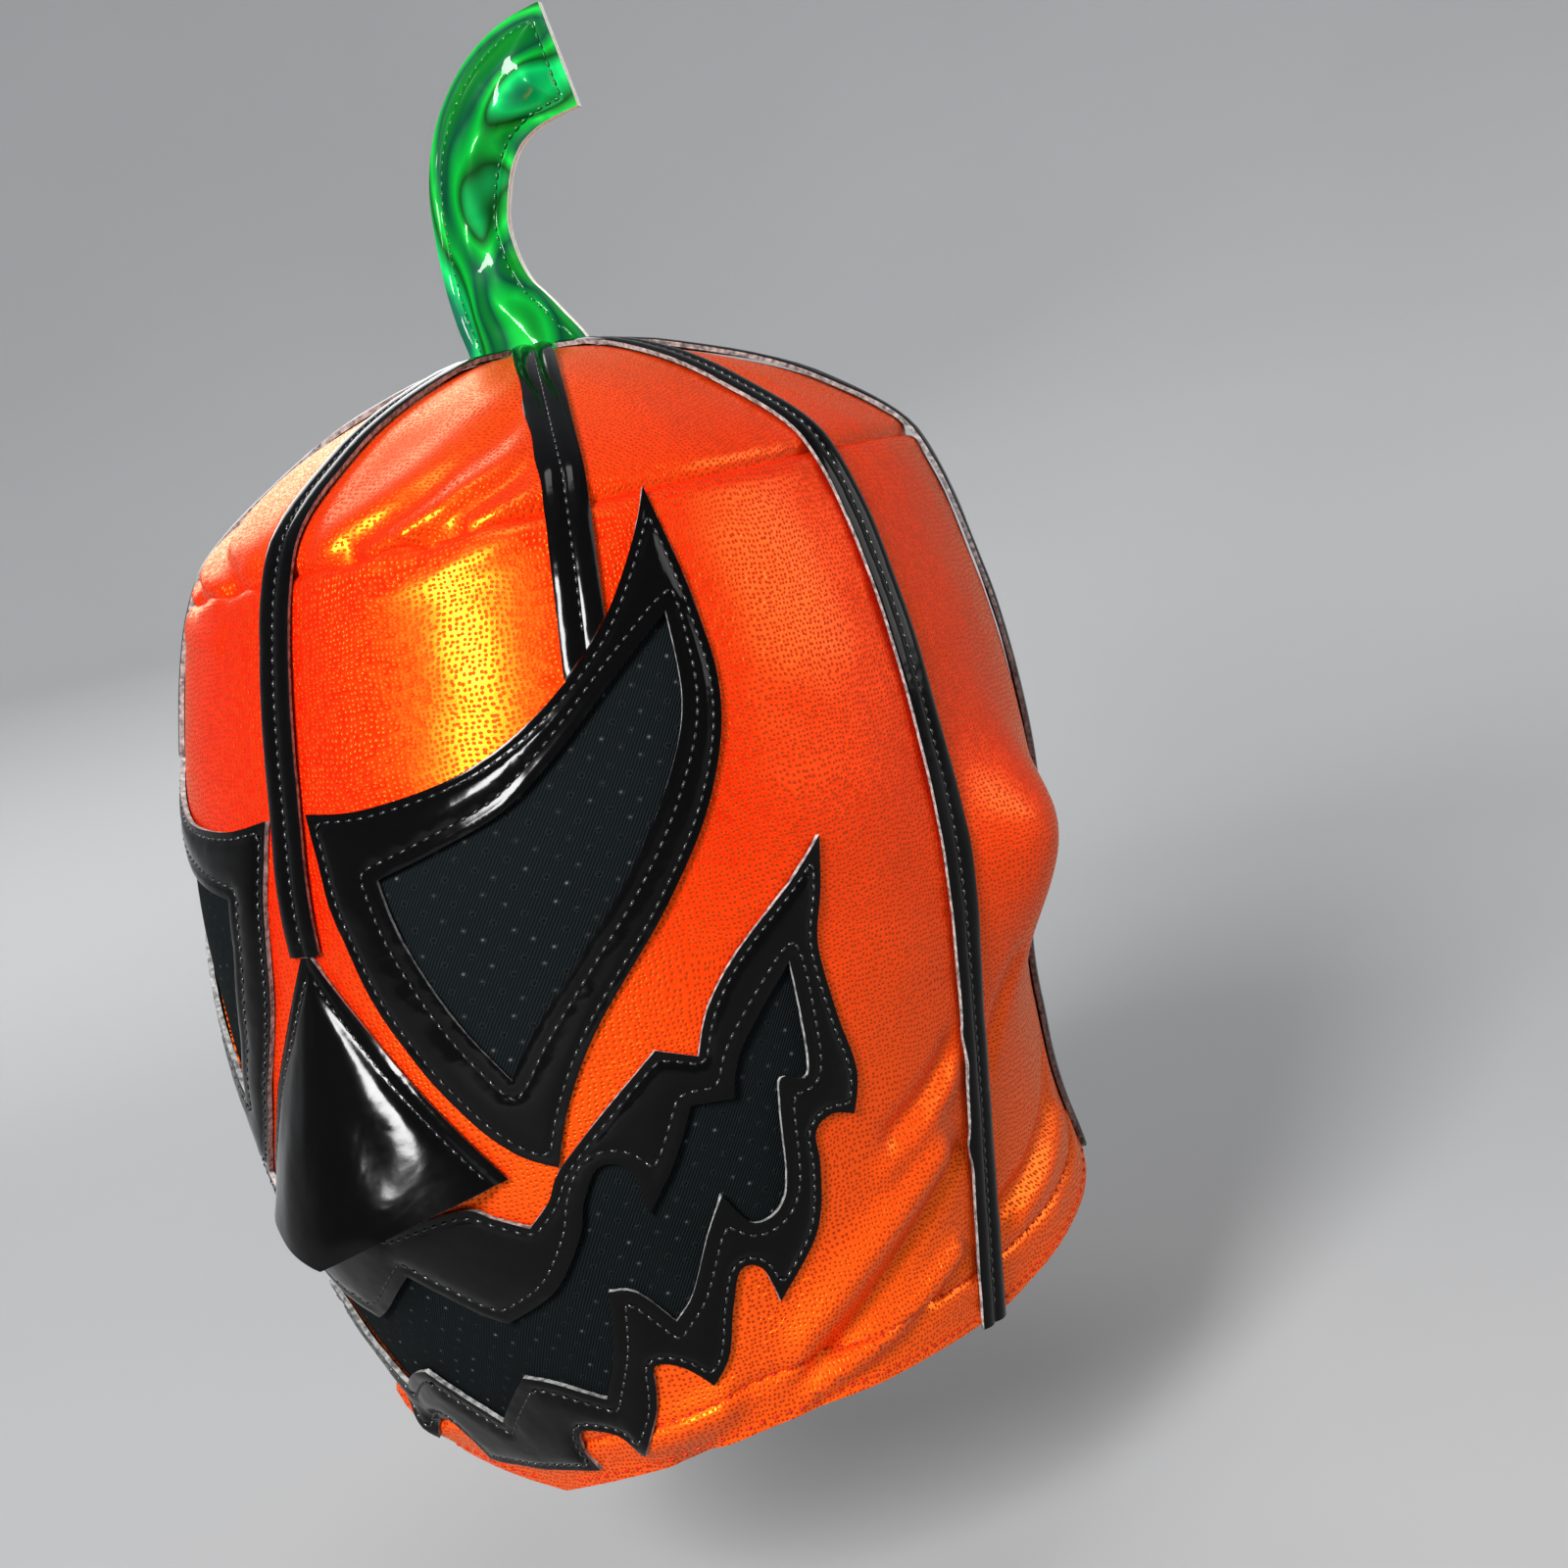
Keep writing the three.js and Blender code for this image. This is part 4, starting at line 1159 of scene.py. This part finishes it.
sweep = np.linspace(-180, 180, 721)
rows = []
for height in (HEM_HEIGHT - HEM_GROOVE_RISE, EDGE_ROW_HEIGHT):
    line = flat_place(sweep, hem_drop(sweep) - height)
    for start, end in zip(
        (-180, -BACK, -SIDE, 0, SIDE, BACK), (-BACK, -SIDE, 0, SIDE, BACK, 180)
    ):
        kept = (sweep > start + SEAM_ROOM) & (sweep < end - SEAM_ROOM)
        if height > EDGE_ROW_HEIGHT and start in (-SIDE, 0):
            kept &= ~inside(line, offset_outline(mouth_border, 1.5 * mm))
        rows.append(row_on_skin(line[kept], hem_thread_lift, False, HEM_STITCH_PITCH))
stitch_rows("hem_stitches", rows, red_thread, "foil_fabric")

# %% [markdown]
# ## Finishes
#
# Foil fabric is stretch cloth printed with a metallic film that is broken into tiny dots.
# Voronoi cells in wavy rows give the dots at their real pitch of less than a millimetre.
# The film shines gold where it mirrors a lamp, which the tint of its highlight gives, and
# red where it does not. Near the hem and on top of the crown a lighter amber is painted in, as painted
# light and sheen.


# %% Node helpers
def add_node(material, kind, inputs=None, **settings):
    """A new node with its settings and inputs. An input may be a value or a socket."""
    node = material.node_tree.nodes.new(kind)
    for key, value in settings.items():
        setattr(node, key, value)
    for key, value in (inputs or {}).items():
        if isinstance(value, bpy.types.NodeSocket):
            material.node_tree.links.new(value, node.inputs[key])
        else:
            node.inputs[key].default_value = value
    return node


def set_shader(material, shader, **values):
    """Sets the main shader's sockets. A socket's name has _ for each space."""
    for key, value in values.items():
        socket = shader.inputs[key.replace("_", " ")]
        if isinstance(value, bpy.types.NodeSocket):
            material.node_tree.links.new(value, socket)
        else:
            socket.default_value = value


def pattern_vector(material, scale=1.0, turn=0.0):
    """The piece's own pattern coordinates in metres, scaled and turned."""
    coordinates = add_node(material, "ShaderNodeTexCoord")
    mapping = add_node(material, "ShaderNodeMapping", {"Vector": coordinates.outputs["UV"]})
    mapping.inputs["Scale"].default_value = np.broadcast_to(scale, 3).tolist()
    mapping.inputs["Rotation"].default_value = (0, 0, turn)
    return mapping.outputs["Vector"]


def noise(material, vector, scale, detail=2.0, rough=0.5, distortion=0.0):
    """A noise texture's value."""
    node = add_node(
        material, "ShaderNodeTexNoise",
        {"Vector": vector, "Scale": scale, "Detail": detail, "Roughness": rough, "Distortion": distortion},
    )
    return node.outputs["Fac"]


def ramp(material, factor, *stops):
    """A colour ramp. A stop is its place and a colour or a grey value."""
    node = add_node(material, "ShaderNodeValToRGB", {"Fac": factor})
    elements = node.color_ramp.elements
    while len(elements) < len(stops):
        elements.new(0.5)
    for element, (place, colour) in zip(elements, stops):
        element.position = place
        grey = (colour,) * 3 if np.isscalar(colour) else colour
        element.color = (*grey, 1)
    return node.outputs["Color"]


def mix(material, factor, first, second, blend="MIX"):
    """Two colours mixed."""
    node = add_node(material, "ShaderNodeMix", data_type="RGBA", blend_type=blend)
    for socket, value in zip((node.inputs[0], node.inputs[6], node.inputs[7]), (factor, first, second)):
        if isinstance(value, bpy.types.NodeSocket):
            material.node_tree.links.new(value, socket)
        else:
            socket.default_value = value if np.isscalar(value) else (*value, 1)
    return node.outputs[2]


def arithmetic(material, operation, first, second):
    """Two numbers worked together."""
    return add_node(
        material, "ShaderNodeMath", {0: first, 1: second}, operation=operation
    ).outputs[0]


def bump(material, height, distance, strength=1.0, after=None):
    """A bump from a height texture."""
    inputs = {"Height": height, "Distance": distance, "Strength": strength}
    if after is not None:
        inputs["Normal"] = after
    return add_node(material, "ShaderNodeBump", inputs).outputs["Normal"]


# %% Foil fabric
DOT_PITCH = 0.98 * mm
flat_vector = pattern_vector(foil)
sway = add_node(
    foil, "ShaderNodeTexNoise", {"Vector": flat_vector, "Scale": 70.0, "Detail": 1.0}
)
sway_mm = add_node(
    foil, "ShaderNodeVectorMath", {0: sway.outputs["Color"], "Scale": 4.4 * mm}, operation="SCALE"
)
swayed = add_node(
    foil, "ShaderNodeVectorMath", {0: flat_vector, 1: sway_mm.outputs[0]}, operation="ADD"
).outputs[0]
cells = add_node(
    foil, "ShaderNodeTexVoronoi",
    {"Vector": swayed, "Scale": 1 / DOT_PITCH, "Randomness": 0.48}, voronoi_dimensions="2D",
)
dot_film = ramp(foil, cells.outputs["Distance"], (0.19, 0), (0.33, 1))
cell_shade = ramp(foil, cells.outputs["Color"], (0.1, 0.0), (0.9, 1.0))
film = mix(foil, cell_shade, (0.68, 0.006, 0.001), (0.8, 0.014, 0.002))
height = add_node(
    foil, "ShaderNodeSeparateXYZ", {0: add_node(foil, "ShaderNodeTexCoord").outputs["Object"]}
).outputs["Z"]
up_share = add_node(
    foil, "ShaderNodeMapRange",
    {"Value": height, "From Min": -0.2, "From Max": 0.0, "To Min": 0.0, "To Max": 1.0},
).outputs[0]
# Painted light and sheen: the film turns a lighter amber near the hem and on top of the crown.
painted_light_share = ramp(foil, up_share, (0.05, 1.0), (0.5, 0.0), (0.78, 0.0), (0.95, 0.7))
film = mix(foil, painted_light_share, film, (0.82, 0.066, 0.005))
patches = ramp(foil, noise(foil, flat_vector, 22.0, 3.0), (0.3, 0.88), (0.7, 1.0))
film = mix(foil, 1.0, film, patches, "MULTIPLY")
foil_colour = mix(foil, dot_film, (0.3, 0.004, 0.002), film)
cell_rough = ramp(foil, cells.outputs["Color"], (0.0, 0.22), (1.0, 0.38))
foil_rough = mix(foil, dot_film, (0.6, 0.6, 0.6), cell_rough)
foil_bump = bump(foil, dot_film, 0.09 * mm, 0.7)
foil_bump = bump(foil, cells.outputs["Color"], 0.09 * mm, 0.6, foil_bump)
set_shader(
    foil, foil_shader, Base_Color=foil_colour, Metallic=0.42, Roughness=foil_rough, IOR=1.55,
    Specular_IOR_Level=1.0, Specular_Tint=(1.0, 0.72, 0.03, 1), Normal=foil_bump,
)

# %% Back of the fabric
back_vector = pattern_vector(cloth_back)
knit_lines = add_node(
    cloth_back, "ShaderNodeTexWave", {"Vector": back_vector, "Scale": 320.0, "Distortion": 1.5}
)
back_shade = ramp(cloth_back, noise(cloth_back, back_vector, 60.0), (0.3, 0.8), (0.7, 1.0))
back_colour = mix(cloth_back, 1.0, (0.69, 0.14, 0.028), back_shade, "MULTIPLY")
set_shader(
    cloth_back, cloth_back_shader, Base_Color=back_colour, Roughness=0.9,
    Specular_IOR_Level=0.2, Normal=bump(cloth_back, knit_lines.outputs["Color"], 0.1 * mm, 0.6),
)

# %% [markdown]
# ## Gloss vinyl, backing and thread
#
# Patent vinyl is a smooth clear film over black. It is all reflection, so its shader is
# simple: nearly black, hardly rough, with a long soft swell and fine handling marks in the
# bump so that reflections break up as they do on the real film.

# %% Gloss vinyl, backing and thread
film_vector = pattern_vector(vinyl)
swell = noise(vinyl, film_vector, 140.0, 2.0, 0.5, 0.4)
marks = noise(vinyl, film_vector, 1400.0, 4.0, 0.6)
vinyl_rough = ramp(vinyl, noise(vinyl, film_vector, 60.0, 5.0, 0.65), (0.35, 0.07), (0.75, 0.2))
vinyl_bump = bump(vinyl, marks, 0.012 * mm, 0.5, bump(vinyl, swell, 0.5 * mm, 0.35))
set_shader(
    vinyl, vinyl_shader, Base_Color=(0.0009, 0.0009, 0.001, 1), Roughness=vinyl_rough,
    Specular_IOR_Level=0.12, Normal=vinyl_bump,
)

for material, shader, dark, light in (
    (backing, backing_shader, (0.06, 0.06, 0.06), (0.3, 0.3, 0.29)),
    (stem_edge, stem_edge_shader, (0.72, 0.69, 0.6), (0.86, 0.84, 0.77)),
):
    fibres = noise(material, add_node(material, "ShaderNodeTexCoord").outputs["Object"], 900.0, 3.0)
    set_shader(
        material, shader, Base_Color=ramp(material, fibres, (0.35, dark), (0.65, light)),
        Roughness=0.85, Normal=bump(material, fibres, 0.05 * mm, 0.5),
    )

for material, shader, dark, light, shine in (
    (black_thread, black_thread_shader, (0.002, 0.002, 0.0025), (0.014, 0.014, 0.015), 0.5),
    (red_thread, red_thread_shader, (0.22, 0.007, 0.003), (0.45, 0.022, 0.008), 0.1),
    (green_thread, green_thread_shader, (0.0, 0.04, 0.008), (0.001, 0.12, 0.025), 0.5),
):
    place = add_node(material, "ShaderNodeTexCoord").outputs["Object"]
    twist = noise(material, place, 2400.0, 2.0)
    set_shader(
        material, shader, Base_Color=ramp(material, twist, (0.35, dark), (0.65, light)),
        Roughness=0.25, Specular_IOR_Level=shine, Normal=bump(material, twist, 0.08 * mm, 0.6),
    )

# %% [markdown]
# ## Knit mesh
#
# The windows are a black sports mesh: a fine ribbed knit with tiny holes in staggered rows.
# A Voronoi texture with hardly any randomness is a nearly even lattice, and turning it by
# about 45 degrees staggers its rows.

# %% Knit mesh
HOLE_PITCH = 3.4 * mm
HOLE_TURN = np.pi / 4 + 0.12
knit_vector = pattern_vector(knit)
lattice = add_node(
    knit, "ShaderNodeTexVoronoi",
    {"Vector": pattern_vector(knit, turn=HOLE_TURN), "Scale": 1 / HOLE_PITCH, "Randomness": 0.12},
    voronoi_dimensions="2D",
)
hole = ramp(knit, lattice.outputs["Distance"], (0.06, 1.0), (0.11, 0.0))
# Painted highlight: a paler ring round each hole, for the light crescent on its rim.
painted_rim_highlight = ramp(knit, lattice.outputs["Distance"], (0.08, 0.0), (0.12, 1.0), (0.18, 0.0))
courses = add_node(
    knit, "ShaderNodeTexWave",
    {"Vector": pattern_vector(knit, turn=-0.5), "Scale": 640.0, "Distortion": 1.2, "Detail": 1.0},
).outputs["Color"]
knit_base = mix(knit, courses, (0.001, 0.0018, 0.002), (0.0055, 0.0075, 0.0082))
knit_colour = mix(knit, painted_rim_highlight, knit_base, (0.008, 0.0095, 0.01))
# Painted reflection: pale specks in some holes, for the shine seen through them.
painted_hole_glints = ramp(knit, noise(knit, knit_vector, 240.0, 2.0), (0.5, 0.004), (0.7, 0.08))
knit_colour = mix(knit, hole, knit_colour, painted_hole_glints)
knit_relief = bump(knit, hole, 0.5 * mm, 0.8, bump(knit, courses, 0.16 * mm, 0.7))
set_shader(
    knit, knit_shader, Base_Color=knit_colour, Roughness=0.8, Normal=knit_relief,
    Specular_IOR_Level=0.03,
)

# %% [markdown]
# ## Holographic green vinyl
#
# This film turns every small bend into a streak of lighter or darker green. A noise that is
# pulled along the stem and distorted paints those streaks into the base colour as painted
# reflections, and a thin clear coat over them gives the white glints.

# %% Green vinyl
stem_vector = add_node(green, "ShaderNodeTexCoord").outputs["Object"]
swirl = noise(green, pattern_vector(green, (1.5, 0.45, 1.0), 0.3), 36.0, 1.0, 0.3, 1.1)
# Painted reflections: the base colour holds fixed bands of lighter and darker green.
green_painted_streaks = ramp(
    green, swirl,
    (0.24, (0.0, 0.014, 0.002)), (0.34, (0.0, 0.12, 0.008)), (0.41, (0.0, 0.035, 0.016)),
    (0.48, (0.0, 0.24, 0.02)), (0.52, (0.0, 0.03, 0.003)), (0.58, (0.0, 0.3, 0.06)),
    (0.65, (0.0, 0.06, 0.03)), (0.76, (0.0, 0.02, 0.003)),
)
set_shader(
    green, green_shader, Base_Color=green_painted_streaks, Metallic=0.2, Roughness=0.5, Specular_IOR_Level=0.05,
    Coat_Weight=0.18, Coat_Roughness=0.03,
    Normal=bump(green, noise(green, stem_vector, 110.0, 1.0, 0.4, 0.6), 1.6 * mm, 0.35),
)

# %% [markdown]
# ## Stage, light and camera
#
# The mask is held up, as on a stand that is left out, so the floor lies a little below it.
# A wide pale dish serves as floor and wall in one, so no view shows a sharp horizon. One
# bright soft lamp stands high on the camera's left, and weaker ones fill the rest.

# %% Stage
FLOOR_LEVEL = -0.275
FLOOR_RINGS = (0.06, 0.15, 0.3, 0.5, 0.7, 0.9)
WALL_RADIUS = 1.7
WALL_STEPS = 16
WALL_TOP = 1.6
SHADE_REACH = 2.5
bpy.ops.mesh.primitive_circle_add(
    vertices=96, radius=FLOOR_RINGS[0], fill_type="NGON", location=(0, 0, FLOOR_LEVEL)
)
stage = bpy.context.active_object
stage.name = "pale_floor"
bend = np.linspace(0, np.pi / 2, WALL_STEPS + 1)[1:]
radii = [*FLOOR_RINGS, *(FLOOR_RINGS[-1] + WALL_RADIUS * np.sin(bend))]
heights = [0] * len(FLOOR_RINGS) + list(WALL_RADIUS * (1 - np.cos(bend)))
bpy.ops.object.mode_set(mode="EDIT")
bpy.ops.mesh.select_all(action="SELECT")
for inner, outer, low, high in zip(radii, radii[1:], heights, heights[1:]):
    bpy.ops.mesh.extrude_region_move(TRANSFORM_OT_translate={"value": (0, 0, high - low)})
    growth = outer / inner
    bpy.ops.transform.resize(value=(growth, growth, 1), center_override=(0, 0, 0))
bpy.ops.mesh.extrude_region_move(TRANSFORM_OT_translate={"value": (0, 0, WALL_TOP)})
bpy.ops.mesh.delete(type="ONLY_FACE")
bpy.ops.mesh.select_all(action="SELECT")
bpy.ops.mesh.normals_make_consistent(inside=True)
bpy.ops.object.mode_set(mode="OBJECT")
bpy.ops.object.transform_apply(location=True, rotation=True, scale=True)
bpy.ops.object.shade_smooth()

# The lamps stand close to the middle of the floor, so its grey is a little deeper there.
pale, pale_shader = blank_material("pale_backdrop")
pale_place = add_node(pale, "ShaderNodeTexCoord").outputs["Object"]
from_middle = add_node(pale, "ShaderNodeVectorMath", {0: pale_place}, operation="LENGTH")
reach_share = arithmetic(pale, "DIVIDE", from_middle.outputs["Value"], SHADE_REACH)
pale_grey = ramp(
    pale, reach_share,
    (0.1, (0.3, 0.303, 0.306)), (0.38, (0.42, 0.424, 0.428)), (0.75, (0.62, 0.625, 0.63)),
)
mottle = ramp(pale, noise(pale, pale_place, 1.2, 2.0), (0.3, 0.92), (0.7, 1.0))
pale_shade = mix(pale, 1.0, pale_grey, mottle, "MULTIPLY")
set_shader(pale, pale_shader, Base_Color=pale_shade, Roughness=0.8)
stage.data.materials.append(pale)

# %% Lights
TARGET = Vector((0, 0, -0.09))


def area_light(name, direction, distance, width, height, power, spread):
    """A soft lamp that looks at the mask. A small spread keeps it off the floor below it."""
    light = bpy.data.lights.new(name, "AREA")
    light.shape = "RECTANGLE"
    light.energy, light.size, light.size_y = power, width, height
    light.spread = np.radians(spread)
    lamp = bpy.data.objects.new(name, light)
    bpy.context.collection.objects.link(lamp)
    away = Vector(direction).normalized()
    lamp.matrix_world = (
        Matrix.Translation(TARGET + away * distance) @ away.to_track_quat("Z", "Y").to_matrix().to_4x4()
    )


# Columns: name, direction from the mask, distance, width, height, power, spread in degrees.
area_light("key", (0.25, -0.86, 0.4), 1.5, 0.34, 0.52, 27, 130)
area_light("fill", (0.85, 0.5, 0.35), 1.5, 0.8, 0.8, 8, 180)
area_light("overhead", (0.2, -0.25, 0.94), 1.2, 0.4, 0.4, 4, 180)
area_light("back_fill", (-0.85, 0.5, 0.6), 1.6, 0.9, 0.9, 9, 180)
world = bpy.data.worlds.new("soft_room")
world.use_nodes = True
world.node_tree.nodes["Background"].inputs["Color"].default_value = (0.9, 0.93, 1.0, 1)
world.node_tree.nodes["Background"].inputs["Strength"].default_value = 0.3
bpy.context.scene.world = world
# Colours are shown as they are, so that the reds and greens keep their strength.
bpy.context.scene.view_settings.view_transform = "Standard"

# %% Camera
CAMERA_PLACE = (0.3069, -0.3490, -0.0604)
FOCAL_LENGTH = 49.80
SENSOR_WIDTH = 36
AZIMUTH, ELEVATION, ROLL = np.radians((37.34, 5.06, 12.28))
right = np.array([np.cos(AZIMUTH), np.sin(AZIMUTH), 0])
back = np.array(
    [np.sin(AZIMUTH) * np.cos(ELEVATION), -np.cos(AZIMUTH) * np.cos(ELEVATION), np.sin(ELEVATION)]
)
up = np.cross(back, right)
x_axis = np.cos(ROLL) * right - np.sin(ROLL) * up
y_axis = np.sin(ROLL) * right + np.cos(ROLL) * up
camera_data = bpy.data.cameras.new("photo_camera")
camera_data.lens = FOCAL_LENGTH
camera_data.sensor_width = SENSOR_WIDTH
camera = bpy.data.objects.new("photo_camera", camera_data)
bpy.context.collection.objects.link(camera)
turned = Matrix(np.stack([x_axis, y_axis, back], 1).tolist()).to_4x4()
camera.matrix_world = Matrix.Translation(CAMERA_PLACE) @ turned
bpy.context.scene.camera = camera

# %% Sizes, and the end
for fact in sheet_facts:
    print("sheet", *fact)
